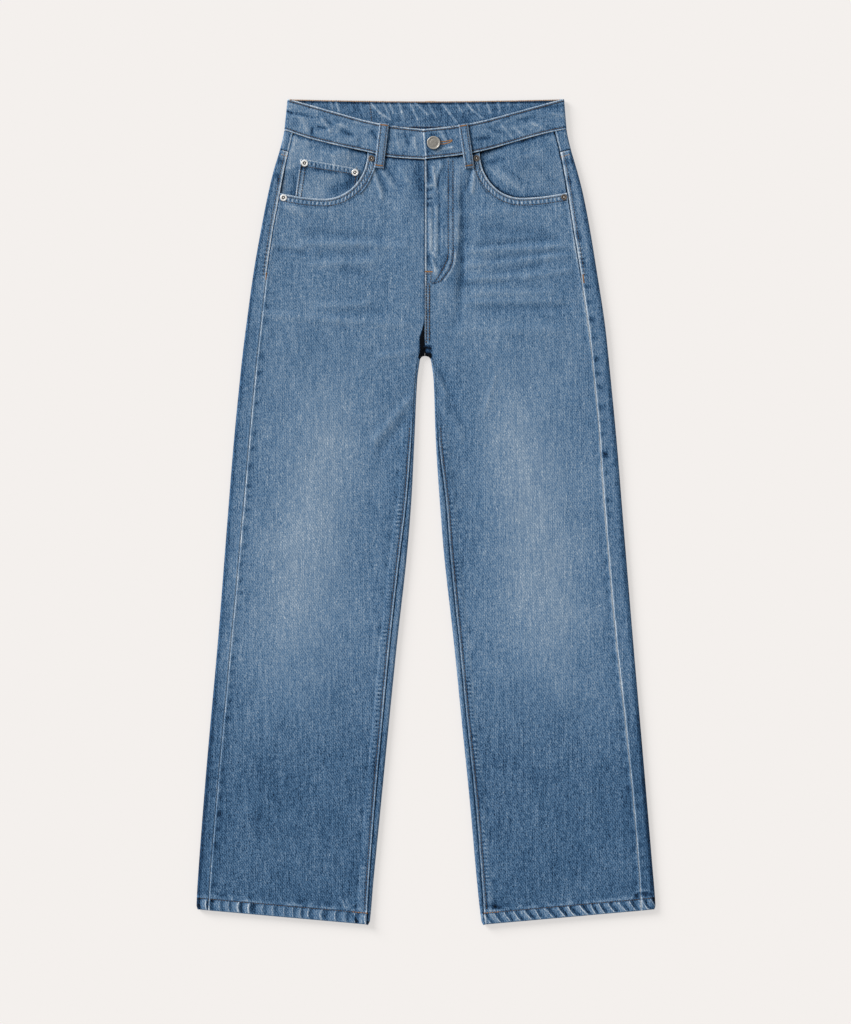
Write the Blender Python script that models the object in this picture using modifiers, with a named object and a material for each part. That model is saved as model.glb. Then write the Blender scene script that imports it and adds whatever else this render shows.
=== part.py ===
"""Wide leg jeans laid flat on their back, face up.

Metres, +Z up. The waist is towards +Y and the hems towards -Y. Left and right are the
wearer's, so the left leg is at +X. The origin is on the floor, in the middle of the
garment's outline. "down" is a distance from the top of the back waistband, towards -Y.

Each leg is one flattened tube of cloth: a front panel on top, and a back panel that
comes round both edges, so its strips show beside the front panel. Pieces that are sewn
together stop SEAM_GAP apart.
"""

import math
from collections import namedtuple

import bmesh
import bpy
from mathutils import Vector

# Driving sizes
TOP_Y = 0.538
CENTRE = -0.0015
DENIM = 0.0012
FACING = 0.0010
BAND = 0.0022
HEM = 0.0026
STRAP = 0.0016
SEAM_GAP = 0.0003
LEFT, RIGHT = 1, -1
SIDES = ((LEFT, "left"), (RIGHT, "right"))

# Heights of the outer surface of the flattened tube above the floor
LEG_TOP = 0.0060
HIP_TOP = 0.0070
SEAT_LIFT = STRAP + SEAM_GAP
WAIST_FOLD = 0.0026
BAND_TOP = SEAT_LIFT + 2 * WAIST_FOLD
UNDERLAP_TOP = 0.0066
OVERLAP_TOP = 0.0091
FACING_LOW = 0.0042
FACING_HIGH = 0.0068
FLY_RISE = 0.0008
CROTCH_DIP = 0.0016
CROTCH_DIP_RADIUS = 0.014

# Where one height runs over into another: "down", or beside the centre for the fly and the band
SEAT_ENDS = (0.285, 0.400)
HIP_ENDS = (0.270, 0.430)
FLY_ENDS = (0.200, 0.290)
FLY_SIDES = (0.020, 0.050)
OVERLAP_SETTLES = (0.045, 0.125)
UNDERLAP_SETTLES = (0.005, 0.050)
LOOP_STEPS_DOWN = (0.083, 0.0916)
FACING_SINKS = (0.35, 0.92)

# The garment's edges in plan, and how far inside each edge the seam beside it runs
Edge = namedtuple("Edge", "down left right left_seam right_seam")
OUTER = (
    Edge(0.0020, 0.1795, 0.1800, 0.0150, 0.0120),
    Edge(0.0420, 0.1828, 0.1840, 0.0155, 0.0118),
    Edge(0.0680, 0.1885, 0.1900, 0.0150, 0.0120),
    Edge(0.0960, 0.1967, 0.1983, 0.0175, 0.0140),
    Edge(0.1260, 0.2043, 0.2054, 0.0200, 0.0155),
    Edge(0.1720, 0.2132, 0.2145, 0.0215, 0.0160),
    Edge(0.2240, 0.2217, 0.2236, 0.0215, 0.0175),
    Edge(0.2890, 0.2318, 0.2327, 0.0215, 0.0190),
    Edge(0.3410, 0.2376, 0.2392, 0.0210, 0.0195),
    Edge(0.4450, 0.2477, 0.2496, 0.0215, 0.0200),
    Edge(0.5490, 0.2562, 0.2581, 0.0225, 0.0195),
    Edge(0.7050, 0.2691, 0.2704, 0.0215, 0.0175),
    Edge(0.8610, 0.2826, 0.2845, 0.0180, 0.0170),
    Edge(0.9910, 0.2936, 0.2948, 0.0175, 0.0160),
    Edge(1.0545, 0.2984, 0.2984, 0.0185, 0.0155),
)
INNER = (
    Edge(0.3415, 0.0065, 0.0080, 0.0036, 0.0036),
    Edge(0.3670, 0.0098, 0.0113, 0.0036, 0.0036),
    Edge(0.4450, 0.0126, 0.0150, 0.0045, 0.0042),
    Edge(0.5230, 0.0177, 0.0189, 0.0078, 0.0060),
    Edge(0.6010, 0.0241, 0.0254, 0.0078, 0.0090),
    Edge(0.7050, 0.0358, 0.0371, 0.0068, 0.0090),
    Edge(0.8090, 0.0462, 0.0477, 0.0065, 0.0084),
    Edge(0.9130, 0.0567, 0.0579, 0.0070, 0.0078),
    Edge(1.0170, 0.0660, 0.0681, 0.0062, 0.0056),
    Edge(1.0740, 0.0722, 0.0732, 0.0040, 0.0038),
)

# Rows of the panels above the crotch. Each runs from the outer edge to the centre seams.
Row = namedtuple("Row", "outer front back")
SEAT_ROWS = (
    Row(0.0960, 0.1340, 0.1290),
    Row(0.1250, 0.1560, 0.1490),
    Row(0.1530, 0.1740, 0.1720),
    Row(0.1870, 0.2000, 0.1980),
    Row(0.2260, 0.2310, 0.2290),
    Row(0.2650, 0.2620, 0.2610),
    Row(0.3020, 0.2880, 0.2900),
    Row(0.3330, 0.3060, 0.3140),
)
YOKE_ROW = Row(0.0680, 0.1080, 0.1090)
CENTRE_ROW_ENDS = 0.0125
POCKET_ROW = 1

# Rows that end in the crotch's turned edge, a quarter of an ellipse for each leg. A row crosses
# that edge from one angle to another, and "wrap" is how much of the turned cloth it goes round.
Turn = namedtuple("Turn", "outer front wrap start end inside")
CROTCH_ROWS = (
    Turn(0.3490, 0.3110, 0.00, 10, 0, 0.0155),
    Turn(0.3560, 0.3145, 0.25, 26, 0, 0.0155),
    Turn(0.3620, 0.3175, 0.50, 42, 0, 0.0155),
    Turn(0.3690, 0.3203, 1.00, 60, 0, 0.0155),
    Turn(0.3770, 0.3300, 1.00, 77, 42, 0.0062),
)
CROTCH_EDGE = 0.3358

# Rows of the legs, from the outer edge round to the inseam. The last two are the hem's.
Leg = namedtuple("Leg", "outer inner")
LEG_ROWS = (
    Leg(0.3850, 0.3430),
    Leg(0.4020, 0.3660),
    Leg(0.4300, 0.4060),
    Leg(0.4700, 0.4560),
    Leg(0.5200, 0.5140),
    Leg(0.5800, 0.5800),
    Leg(0.6500, 0.6550),
    Leg(0.7250, 0.7340),
    Leg(0.8000, 0.8120),
    Leg(0.8750, 0.8900),
    Leg(0.9500, 0.9675),
    Leg(1.0200, 1.0390),
    Leg(1.0380, 1.0572),
    Leg(1.0385, 1.0580),
    Leg(1.0545, 1.0740),
)
HEM_ROWS = 2

# The waistband's edges across each half, from the centre (0) to the side fold (1)
Waist = namedtuple("Waist", "share top left right")
WAIST = (
    Waist(0.00, 0.0413, 0.0797, 0.0803),
    Waist(0.25, 0.0363, 0.0746, 0.0770),
    Waist(0.43, 0.0300, 0.0684, 0.0698),
    Waist(0.63, 0.0204, 0.0582, 0.0620),
    Waist(0.83, 0.0104, 0.0478, 0.0530),
    Waist(1.00, 0.0020, 0.0412, 0.0428),
)
BACK_TOP_SAG = 0.0025
OVERLAP_END_TOP = -0.0043
OVERLAP_END_BOTTOM = -0.0009
UNDERLAP_END = 0.0400

# Where each pocket mouth meets the waistband, and its lowest point
Mouth = namedtuple("Mouth", "inner low low_down outer_down")
MOUTHS = {
    LEFT: Mouth(0.0698, 0.1235, 0.1302, 0.1235),
    RIGHT: Mouth(0.0760, 0.1320, 0.1313, 0.1240),
}
FACING_BOTTOM = 0.138
FACING_PAST_MOUTH = 0.010

# The coin pocket's upper and lower edge, each as two places (x, down)
COIN_TOP = ((-0.1628, 0.0792), (-0.0868, 0.0926))
COIN_BOTTOM = ((-0.1705, 0.1340), (-0.0925, 0.1375))
COIN_GAP = 0.0004

# The back pockets: width, length at the sides and at the point, place, and width of the foot
BACK_POCKET_WIDTH = 0.138
BACK_POCKET_SIDE = 0.120
BACK_POCKET_POINT = 0.145
BACK_POCKET_X = 0.098
BACK_POCKET_DOWN = 0.124
BACK_POCKET_FOOT = 0.94

# Button, buttonhole and rivets
BUTTON_X = 0.0099
BUTTON_DOWN = 0.0588
BUTTON_RADIUS = 0.0086
BUTTON_HEIGHT = 0.0030
SHANK_RADIUS = 0.0026
EYELET_RADIUS = 0.0032
HOLE_LENGTH = 0.0240
HOLE_WIDTH = 0.0020
RIVET_RADIUS = 0.0044
RIVET_HEIGHT = 0.0014
Rivet = namedtuple("Rivet", "name x down metal")
PANEL_RIVETS = (
    Rivet("rivet_mouth_inner_left", 0.0656, 0.0786, "bronze"),
    Rivet("rivet_mouth_outer_left", 0.1793, 0.1292, "bronze"),
    Rivet("rivet_mouth_inner_right", -0.0708, 0.0790, "bronze"),
    Rivet("rivet_mouth_outer_right", -0.1850, 0.1300, "silver"),
)
COIN_RIVETS = (
    Rivet("rivet_coin_outer", -0.1576, 0.0852, "silver"),
    Rivet("rivet_coin_inner", -0.0922, 0.0972, "silver"),
)

# Belt loops, from the upper end to the lower end
Loop = namedtuple("Loop", "name top_x top_down bottom_x bottom_down")
FRONT_LOOPS = (
    Loop("belt_loop_front_left", 0.0481, 0.0345, 0.0568, 0.0916),
    Loop("belt_loop_front_right", -0.0542, 0.0335, -0.0611, 0.0916),
)
BACK_LOOPS = (
    Loop("belt_loop_back_left", 0.1180, 0.0020, 0.1180, 0.0600),
    Loop("belt_loop_back_centre", 0.0050, 0.0030, 0.0050, 0.0610),
    Loop("belt_loop_back_right", -0.1180, 0.0020, -0.1180, 0.0600),
)
LOOP_WIDTH = 0.0120
LOOP_BOW = 0.0006

# Soft ridges and troughs in the top layer: a line in plan, its half width and its height
Fold = namedtuple("Fold", "x0 down0 x1 down1 spread rise")
FOLDS = (
    Fold(0.041, 0.100, 0.038, 0.250, 0.012, 0.0007),
    Fold(0.058, 0.130, 0.052, 0.270, 0.012, -0.0006),
    Fold(0.016, 0.370, 0.060, 0.520, 0.018, -0.0008),
    Fold(-0.018, 0.390, -0.060, 0.500, 0.018, -0.0006),
    Fold(0.150, 0.420, 0.160, 0.760, 0.045, 0.0007),
    Fold(-0.130, 0.420, -0.160, 0.760, 0.045, 0.0007),
)


def smooth_step(low, high, value):
    share = min(1.0, max(0.0, (value - low) / (high - low)))
    return share * share * (3 - 2 * share)


def from_table(table, column, at):
    """The value of a column of a table at a place, on a smooth curve through its rows."""
    places = [row[0] for row in table]
    values = [getattr(row, column) for row in table]
    at = min(places[-1], max(places[0], at))
    k = max(i for i in range(len(places) - 1) if places[i] <= at)

    def slope(i):
        low, high = max(0, i - 1), min(len(places) - 1, i + 1)
        return (values[high] - values[low]) / (places[high] - places[low])

    step = places[k + 1] - places[k]
    t = (at - places[k]) / step
    return (
        values[k] * (1 + 2 * t) * (1 - t) ** 2
        + values[k + 1] * (3 - 2 * t) * t**2
        + slope(k) * step * t * (1 - t) ** 2
        - slope(k + 1) * step * (1 - t) * t**2
    )


def edge_x(table, side, down):
    return side * from_table(table, "left" if side == LEFT else "right", down)


def seam_inside(table, side, down):
    return from_table(table, "left_seam" if side == LEFT else "right_seam", down)


def seat_height(down):
    """Height of the under layer: the seat rests on the back pockets, the legs on the floor."""
    return SEAT_LIFT * (1 - smooth_step(*SEAT_ENDS, down))


def fold_rise(x, down):
    total = 0.0
    for fold in FOLDS:
        start, end = Vector((fold.x0, fold.down0)), Vector((fold.x1, fold.down1))
        run = end - start
        share = min(1.0, max(0.0, (Vector((x, down)) - start).dot(run) / run.length_squared))
        away = (Vector((x, down)) - start - run * share).length / fold.spread
        total += fold.rise * math.exp(-away * away)
    return total


def top_height(x, down):
    """Height of the outer surface of the top layer, below the waistband."""
    hip = 1 - smooth_step(*HIP_ENDS, down)
    fly = FLY_RISE * (1 - smooth_step(*FLY_SIDES, abs(x))) * (1 - smooth_step(*FLY_ENDS, down))
    crotch = math.hypot(x - CENTRE, down - CROTCH_EDGE) / CROTCH_DIP_RADIUS
    dip = CROTCH_DIP * math.exp(-crotch * crotch)
    return LEG_TOP + (HIP_TOP - LEG_TOP) * hip + fly - dip + fold_rise(x, down)


def place(x, down, height):
    return Vector((x, TOP_Y - down, height))


def arc(edge, outward, low, high, share):
    """A point on the half circle that joins the under layer to the top layer at an edge."""
    radius = (high - low) / 2
    turn = math.pi * share
    reach = radius * (math.sin(turn) - 1)
    height = low + radius * (1 - math.cos(turn))
    return Vector((edge.x + outward.x * reach, edge.y + outward.y * reach, height))


def between(a, b, count):
    """Points inside the straight line from a to b, without its ends."""
    return [a.lerp(b, (k + 1) / (count + 1)) for k in range(count)]


def make_material(name, colour, roughness, metallic=0.0):
    material = bpy.data.materials.new(name)
    material.use_nodes = True
    shader = material.node_tree.nodes["Principled BSDF"]
    shader.inputs["Base Color"].default_value = (*colour, 1)
    shader.inputs["Roughness"].default_value = roughness
    shader.inputs["Metallic"].default_value = metallic
    return material


def keep(obj, material):
    """Puts a finished object in the garment's collection."""
    obj.data.materials.append(material)
    garment.objects.link(obj)
    return obj


def cloth(name, rows, thickness, material, hem_rows=0):
    """A wall of cloth, from rows of points on its outer surface. The last hem_rows are thicker."""
    bm = bmesh.new()
    bmesh.ops.create_grid(bm, x_segments=len(rows[0]) - 1, y_segments=len(rows) - 1, size=1)
    bm.verts.ensure_lookup_table()
    points = [point for row in rows for point in row]
    for vertex, point in zip(bm.verts, points):
        vertex.co = point
    bm.normal_update()
    bm.faces.ensure_lookup_table()
    if bm.faces[0].normal.z < 0:
        bmesh.ops.reverse_faces(bm, faces=bm.faces)
    mesh = bpy.data.meshes.new(name)
    bm.to_mesh(mesh)
    bm.free()
    mesh.shade_smooth()
    obj = bpy.data.objects.new(name, mesh)
    wall = obj.modifiers.new("Wall", "SOLIDIFY")
    wall.offset = -1
    wall.thickness = thickness
    if hem_rows:
        hem = obj.vertex_groups.new(name="hem")
        first = len(rows[0]) * (len(rows) - hem_rows)
        hem.add(range(first, len(points)), 1.0, "REPLACE")
        wall.thickness = HEM
        wall.vertex_group = "hem"
        wall.thickness_vertex_group = thickness / HEM
    return keep(obj, material)


# Panels of the legs and seat


def outseam_x(side, down):
    """Where the outseam's middle is on the front, beside the outer edge."""
    return edge_x(OUTER, side, down) - side * seam_inside(OUTER, side, down)


def outer_points(side, down, slope):
    """From the outseam on top, round the outer edge, to the underside, with a slanting strip."""
    edge = place(edge_x(OUTER, side, down), down, 0)
    low, high = seat_height(down), top_height(edge.x, down)
    seam_down = down + seam_inside(OUTER, side, down) * slope
    seam_x = outseam_x(side, seam_down) + side * SEAM_GAP / 2
    seam = place(seam_x, seam_down, top_height(seam_x, seam_down))
    return [seam] + [arc(edge, Vector((side, 0)), low, high, share / 4) for share in (4, 3, 2, 1, 0)]


def fold_frame(side, row, turn):
    """A point of the inner edge in plan, the way out from the cloth, and the cloth's two heights."""
    if isinstance(row, Leg):
        edge = place(edge_x(INNER, side, row.inner), row.inner, 0)
        outward = Vector((-side, 0))
    else:
        wide = abs(edge_x(INNER, side, INNER[0].down) - CENTRE)
        deep = INNER[0].down - CROTCH_EDGE
        turn = math.radians(turn)
        x = CENTRE + side * (SEAM_GAP / 2 + (wide - SEAM_GAP / 2) * math.sin(turn))
        edge = place(x, CROTCH_EDGE + deep * (1 - math.cos(turn)), 0)
        outward = Vector((-side * math.sin(turn) / wide, -math.cos(turn) / deep)).normalized()
    return edge, outward, seat_height(TOP_Y - edge.y), top_height(edge.x, TOP_Y - edge.y)


def inseam_inside(side, row):
    """How far inside the inner edge the inseam's middle is, on top."""
    return seam_inside(INNER, side, row.inner) if isinstance(row, Leg) else row.inside


def turned_points(side, row, count=7):
    """The last points of a back panel's row, from the underside round to the inseam on top."""
    start, end, wrap = (90, 90, 1) if isinstance(row, Leg) else (row.start, row.end, row.wrap)
    points = []
    for k in range(count):
        share = k / (count - 1)
        edge, outward, low, high = fold_frame(side, row, start + (end - start) * share)
        round_edge = min(1.0, 2 * share * wrap)
        if round_edge < 1:
            points.append(arc(edge, outward, low, high, round_edge))
            continue
        radius = (high - low) / 2
        inside = inseam_inside(side, row) - SEAM_GAP / 2
        back_in = radius + (inside - radius) * (2 * share * wrap - 1)
        x, y = edge.x - outward.x * back_in, edge.y - outward.y * back_in
        points.append(Vector((x, y, top_height(x, TOP_Y - y))))
    return points


def centre_points(side, down, count=7):
    """The last points of a back panel's row above the crotch, up to the centre seam."""
    end = CENTRE + side * SEAM_GAP / 2
    steps = [1 - k / (count - 1) for k in range(count)]
    return [place(end + side * CENTRE_ROW_ENDS * step, down, seat_height(down)) for step in steps]


def back_row(side, row):
    start = outer_points(side, row.outer, row_slope(side, row))
    end = centre_points(side, row.back) if isinstance(row, Row) else turned_points(side, row)
    middle = between(start[-1], end[0], 7)
    for point in middle:
        point.z = seat_height(TOP_Y - point.y)
    return start + middle + end


def front_end(side, row):
    """The inner end of a front panel's row in plan, at the centre seam or the inseam."""
    if not isinstance(row, Leg) and row.front <= CROTCH_ROWS[3].front:
        return place(CENTRE + side * SEAM_GAP / 2, row.front, 0)
    turn = 90 if isinstance(row, Leg) else row.end
    edge, outward, *_ = fold_frame(side, row, turn)
    inside = inseam_inside(side, row) + SEAM_GAP / 2
    return Vector((edge.x - outward.x * inside, edge.y - outward.y * inside, 0))


def row_slope(side, row):
    """How far a row of the front panel runs down for each metre towards the middle."""
    end = front_end(side, row)
    return (TOP_Y - end.y - row.outer) / abs(edge_x(OUTER, side, row.outer) - end.x)


def on_top(points):
    """The same points in plan, set on the outer surface of the top layer."""
    return [Vector((p.x, p.y, top_height(p.x, TOP_Y - p.y))) for p in points]


def front_row(side, row, count=12):
    seam = outer_points(side, row.outer, row_slope(side, row))[0]
    seam.x -= side * SEAM_GAP
    end = front_end(side, row)
    return on_top([seam] + between(seam, end, count - 2) + [end])


def band_run(side):
    """Where the waistband's upper, then lower edge starts at the front and ends at the side fold."""
    column = "left" if side == LEFT else "right"
    starts = (OVERLAP_END_TOP, OVERLAP_END_BOTTOM) if side == LEFT else (CENTRE, CENTRE)
    downs = (WAIST[-1].top, getattr(WAIST[-1], column))
    ends = [edge_x(OUTER, side, down) - side * WAIST_FOLD for down in downs]
    return list(zip(starts, ends))


def waist_down(side, x):
    """Where the waistband's lower edge is on the front."""
    start, end = band_run(side)[1]
    return from_table(WAIST, "left" if side == LEFT else "right", (x - start) / (end - start))


def mouth_points(side, count):
    """The pocket mouth in plan, from the outseam: a slack line, then a quarter of an ellipse."""
    mouth = MOUTHS[side]
    seam_x = outseam_x(side, mouth.outer_down) - side * SEAM_GAP / 2
    top = waist_down(side, side * mouth.inner) + SEAM_GAP
    points = []
    straight = count // 3
    for k in range(straight):
        share = k / straight
        x = seam_x + (side * mouth.low - seam_x) * share
        sag = (mouth.low_down - mouth.outer_down) * math.sin(share * math.pi / 2)
        points.append(place(x, mouth.outer_down + sag, 0))
    for k in range(count - straight):
        turn = math.pi / 2 * k / (count - straight - 1)
        x = side * (mouth.low - (mouth.low - mouth.inner) * math.sin(turn))
        points.append(place(x, top + (mouth.low_down - top) * math.cos(turn), 0))
    return points


def front_panel(side, name, material):
    """A front panel hangs from its pocket mouth and the waistband, so its first row follows both."""
    mouth = mouth_points(side, 8)
    corner = mouth[-1]
    waist = []
    for k in range(4):
        x = corner.x + (CENTRE + side * SEAM_GAP / 2 - corner.x) * (k + 1) / 4
        waist.append(place(x, waist_down(side, x) + SEAM_GAP, 0))
    first = mouth + waist
    second = front_row(side, SEAT_ROWS[POCKET_ROW + 1])
    rows = [on_top(first)]
    for share in (0.2, 0.45, 0.72):
        rows.append(on_top([a.lerp(b, share) for a, b in zip(first, second)]))
    for row in rows:
        row[0].x = outseam_x(side, TOP_Y - row[0].y) - side * SEAM_GAP / 2
    lower = SEAT_ROWS[POCKET_ROW + 1 :] + CROTCH_ROWS + LEG_ROWS
    rows += [front_row(side, row) for row in lower]
    return cloth(name, rows, DENIM, material, HEM_ROWS)


def yoke(side, name, material):
    """The yoke runs from the waistband to a seam that is deeper at the centre of the back."""
    band_side = getattr(WAIST[-1], "left" if side == LEFT else "right") + SEAM_GAP
    band_centre = (WAIST[-1].left + WAIST[-1].right) / 2 + SEAM_GAP
    band_row = Row(band_side, waist_down(side, CENTRE), band_centre)
    middle_row = Row(*[(a + b) / 2 for a, b in zip(band_row, YOKE_ROW)])
    rows = [back_row(side, row) for row in (band_row, middle_row, YOKE_ROW)]
    strip = rows[0][0]
    strip.y = TOP_Y - waist_down(side, strip.x) - SEAM_GAP
    return cloth(name, rows, DENIM, material)


def back_panel(side, name, material):
    first = Row(*[down + SEAM_GAP for down in YOKE_ROW])
    rows = [back_row(side, row) for row in (first,) + SEAT_ROWS + CROTCH_ROWS + LEG_ROWS]
    return cloth(name, rows, DENIM, material, HEM_ROWS)


# Pockets


def mouth_depth(side, x, down):
    """0 at the waistband and outseam, 1 at the pocket mouth and beyond it."""
    mouth = MOUTHS[side]
    top = waist_down(side, x)
    drop = (down - top) / (mouth.low_down - top)
    in_from_low = max(0.0, (mouth.low - abs(x)) / (mouth.low - mouth.inner))
    return min(1.0, math.hypot(max(0.0, drop), in_from_low))


def facing_height(side, x, down):
    sunk = smooth_step(*FACING_SINKS, mouth_depth(side, x, down))
    return FACING_HIGH - (FACING_HIGH - FACING_LOW) * sunk


def coin_height(x, down):
    return facing_height(RIGHT, x, down) + COIN_GAP + FACING


def pocket_facing(side, name, material):
    """The denim behind a pocket mouth. It goes on under the front panel, past the mouth.

    Each point's x depends on how far down it is and the other way round, so both are settled
    in a few steps.
    """
    end_x = side * (MOUTHS[side].inner - FACING_PAST_MOUTH)
    rows = []
    for j in range(9):
        row = []
        for k in range(10):
            down = FACING_BOTTOM
            for _ in range(4):
                seam_x = outseam_x(side, down) - side * SEAM_GAP / 2
                x = seam_x + (end_x - seam_x) * k / 9
                top = waist_down(side, x) + SEAM_GAP
                down = top + (FACING_BOTTOM - top) * j / 8
            row.append(place(x, down, facing_height(side, x, down)))
        rows.append(row)
    return cloth(name, rows, FACING, material)


def coin_pocket(name, material):
    """The small pocket on the right facing. Its lower end is under the front panel."""
    rows = []
    for share in (0, 0.2, 0.4, 0.6, 0.8, 1):
        start = Vector(COIN_TOP[0]).lerp(Vector(COIN_BOTTOM[0]), share)
        end = Vector(COIN_TOP[1]).lerp(Vector(COIN_BOTTOM[1]), share)
        row = []
        for k in range(7):
            x, down = start.lerp(end, k / 6)
            row.append(place(x, down, coin_height(x, down)))
        rows.append(row)
    return cloth(name, rows, FACING, material)


def back_pocket(side, name, material):
    """A patch pocket with a pointed foot, on the seat. The garment lies on it."""
    half = BACK_POCKET_WIDTH / 2
    outline = (
        (-half, 0),
        (half, 0),
        (half * BACK_POCKET_FOOT, -BACK_POCKET_SIDE),
        (0, -BACK_POCKET_POINT),
        (-half * BACK_POCKET_FOOT, -BACK_POCKET_SIDE),
    )
    curve = bpy.data.curves.new(name, "CURVE")
    curve.dimensions = "2D"
    curve.fill_mode = "BOTH"
    curve.extrude = STRAP / 2
    spline = curve.splines.new("POLY")
    spline.points.add(len(outline) - 1)
    for point, (x, y) in zip(spline.points, outline):
        point.co = (x, y, 0, 1)
    spline.use_cyclic_u = True
    obj = bpy.data.objects.new(name, curve)
    obj.location = place(side * BACK_POCKET_X, BACK_POCKET_DOWN, STRAP / 2)
    return keep(obj, material)


# Waistband


def band_height(side, x):
    """Height of the waistband's outer surface on the front. The left end laps over the right end."""
    if side == LEFT:
        return OVERLAP_TOP - (OVERLAP_TOP - BAND_TOP) * smooth_step(*OVERLAP_SETTLES, x)
    return UNDERLAP_TOP + (BAND_TOP - UNDERLAP_TOP) * smooth_step(*UNDERLAP_SETTLES, -x)


def band_edges(side, share):
    """The upper and lower edge of the waistband on the front, at a share of the way to the side fold."""
    columns = ("top", "left" if side == LEFT else "right")
    edges = []
    for (start, end), column in zip(band_run(side), columns):
        x = start + (end - start) * share
        edges.append(place(x, from_table(WAIST, column, share), band_height(side, x)))
    return edges


def back_band_edges(share):
    """The upper and lower edge of the waistband behind, from the right fold (0) to the left fold (1)."""
    right, left = band_run(RIGHT), band_run(LEFT)
    ends = ((WAIST[-1].top, WAIST[-1].top), (WAIST[-1].right, WAIST[-1].left))
    edges = []
    for (_, right_x), (_, left_x), (right_down, left_down) in zip(right, left, ends):
        x = right_x + (left_x - right_x) * share
        edges.append(place(x, right_down + (left_down - right_down) * share, SEAT_LIFT))
    edges[0].y -= BACK_TOP_SAG * math.sin(math.pi * share)
    return edges


def band_fold(side):
    """The points between top and underside at a side fold, as upper and lower edges."""
    column = "left" if side == LEFT else "right"
    places = []
    for share in (0.8, 0.6, 0.4, 0.2):
        edges = []
        for down in (WAIST[-1].top, getattr(WAIST[-1], column)):
            edge = place(edge_x(OUTER, side, down), down, 0)
            edges.append(arc(edge, Vector((side, 0)), SEAT_LIFT, SEAT_LIFT + 2 * WAIST_FOLD, share))
        places.append(edges)
    return places


def waistband(name, material):
    """One band, from its right end under the left end, round the back, to the left end on top."""
    underlap = []
    for x in (UNDERLAP_END, UNDERLAP_END * 0.66, UNDERLAP_END * 0.33):
        share = x / band_run(LEFT)[0][1]
        downs = [from_table(WAIST, column, share) for column in ("top", "left")]
        underlap.append([place(x, down, UNDERLAP_TOP) for down in downs])
    front_shares = [k / 10 for k in range(11)]
    path = underlap
    path += [band_edges(RIGHT, share) for share in front_shares]
    path += band_fold(RIGHT)
    path += [back_band_edges(k / 12) for k in range(13)]
    path += reversed(band_fold(LEFT))
    path += [band_edges(LEFT, share) for share in reversed(front_shares)]
    rows = [[upper.lerp(lower, share) for upper, lower in path] for share in (0, 0.5, 1)]
    band = cloth(name, rows, BAND, material)
    hole = band.modifiers.new("Buttonhole", "BOOLEAN")
    hole.object = buttonhole_cutter()
    return band


# Button, buttonhole and rivets


def turned(name, profile, steps):
    """A turned solid, from a profile of (radius, height) points that starts at the top centre."""
    mesh = bpy.data.meshes.new(name)
    points = [(radius, 0, height) for radius, height in profile]
    mesh.from_pydata(points, [(k, k + 1) for k in range(len(points) - 1)], [])
    obj = bpy.data.objects.new(name, mesh)
    screw = obj.modifiers.new("Turn", "SCREW")
    screw.steps = steps
    screw.render_steps = steps
    screw.use_merge_vertices = True
    screw.merge_threshold = 0.00001
    return obj


def buttonhole_cutter():
    """A round eye and a slit behind it, taller than the band."""
    bm = bmesh.new()
    tall = 0.0040
    bmesh.ops.create_cone(
        bm, cap_ends=True, segments=16, radius1=EYELET_RADIUS, radius2=EYELET_RADIUS, depth=tall
    )
    mesh = bpy.data.meshes.new("buttonhole eye")
    bm.to_mesh(mesh)
    bm.free()
    eye = bpy.data.objects.new("buttonhole eye", mesh)
    bm = bmesh.new()
    bmesh.ops.create_cube(bm, size=1)
    bmesh.ops.scale(bm, vec=(HOLE_LENGTH, HOLE_WIDTH, tall * 0.98), verts=bm.verts)
    bmesh.ops.translate(bm, vec=(HOLE_LENGTH / 2, 0, 0), verts=bm.verts)
    mesh = bpy.data.meshes.new("buttonhole slit")
    bm.to_mesh(mesh)
    bm.free()
    slit = bpy.data.objects.new("buttonhole slit", mesh)
    join = eye.modifiers.new("Slit", "BOOLEAN")
    join.operation = "UNION"
    join.object = slit
    middle = OVERLAP_TOP - BAND / 2
    for cutter in (eye, slit):
        cutter.location = place(BUTTON_X, BUTTON_DOWN, middle)
        cutter.hide_render = True
        cutter.display_type = "WIRE"
        cutters.objects.link(cutter)
    return eye


def fly_button(name, material):
    """A tack button: a domed cap with a raised rim, and a shank down to the underlap."""
    under = OVERLAP_TOP + SEAM_GAP
    foot = UNDERLAP_TOP + SEAM_GAP
    top = under + BUTTON_HEIGHT
    profile = (
        (0, top - 0.0004),
        (0.0056, top - 0.0007),
        (0.0066, top - 0.0002),
        (0.0076, top),
        (BUTTON_RADIUS, top - 0.0010),
        (BUTTON_RADIUS, top - 0.0020),
        (0.0070, under),
        (SHANK_RADIUS, under),
        (SHANK_RADIUS, foot),
        (0, foot),
    )
    obj = turned(name, profile, 24)
    obj.location = place(BUTTON_X, BUTTON_DOWN, 0)
    return keep(obj, material)


def rivet_seat(surface, x, down):
    """The highest point of a surface under a rivet."""
    ways = ((0, 0), (1, 0), (-1, 0), (0, 1), (0, -1))
    return max(surface(x + u * RIVET_RADIUS, down + v * RIVET_RADIUS) for u, v in ways)


def rivet(name, x, down, height, material):
    """A rivet's cap: a rounded ring with a small nipple in its hollow middle."""
    profile = (
        (0, 0.0008),
        (0.0008, 0.0008),
        (0.0014, 0.0004),
        (0.0024, 0.0012),
        (0.0032, RIVET_HEIGHT),
        (0.0040, 0.0010),
        (RIVET_RADIUS, 0.0003),
        (RIVET_RADIUS, 0),
        (0, 0),
    )
    obj = turned(name, profile, 12)
    obj.location = place(x, down, height + SEAM_GAP)
    return keep(obj, material)


# Belt loops


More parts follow.
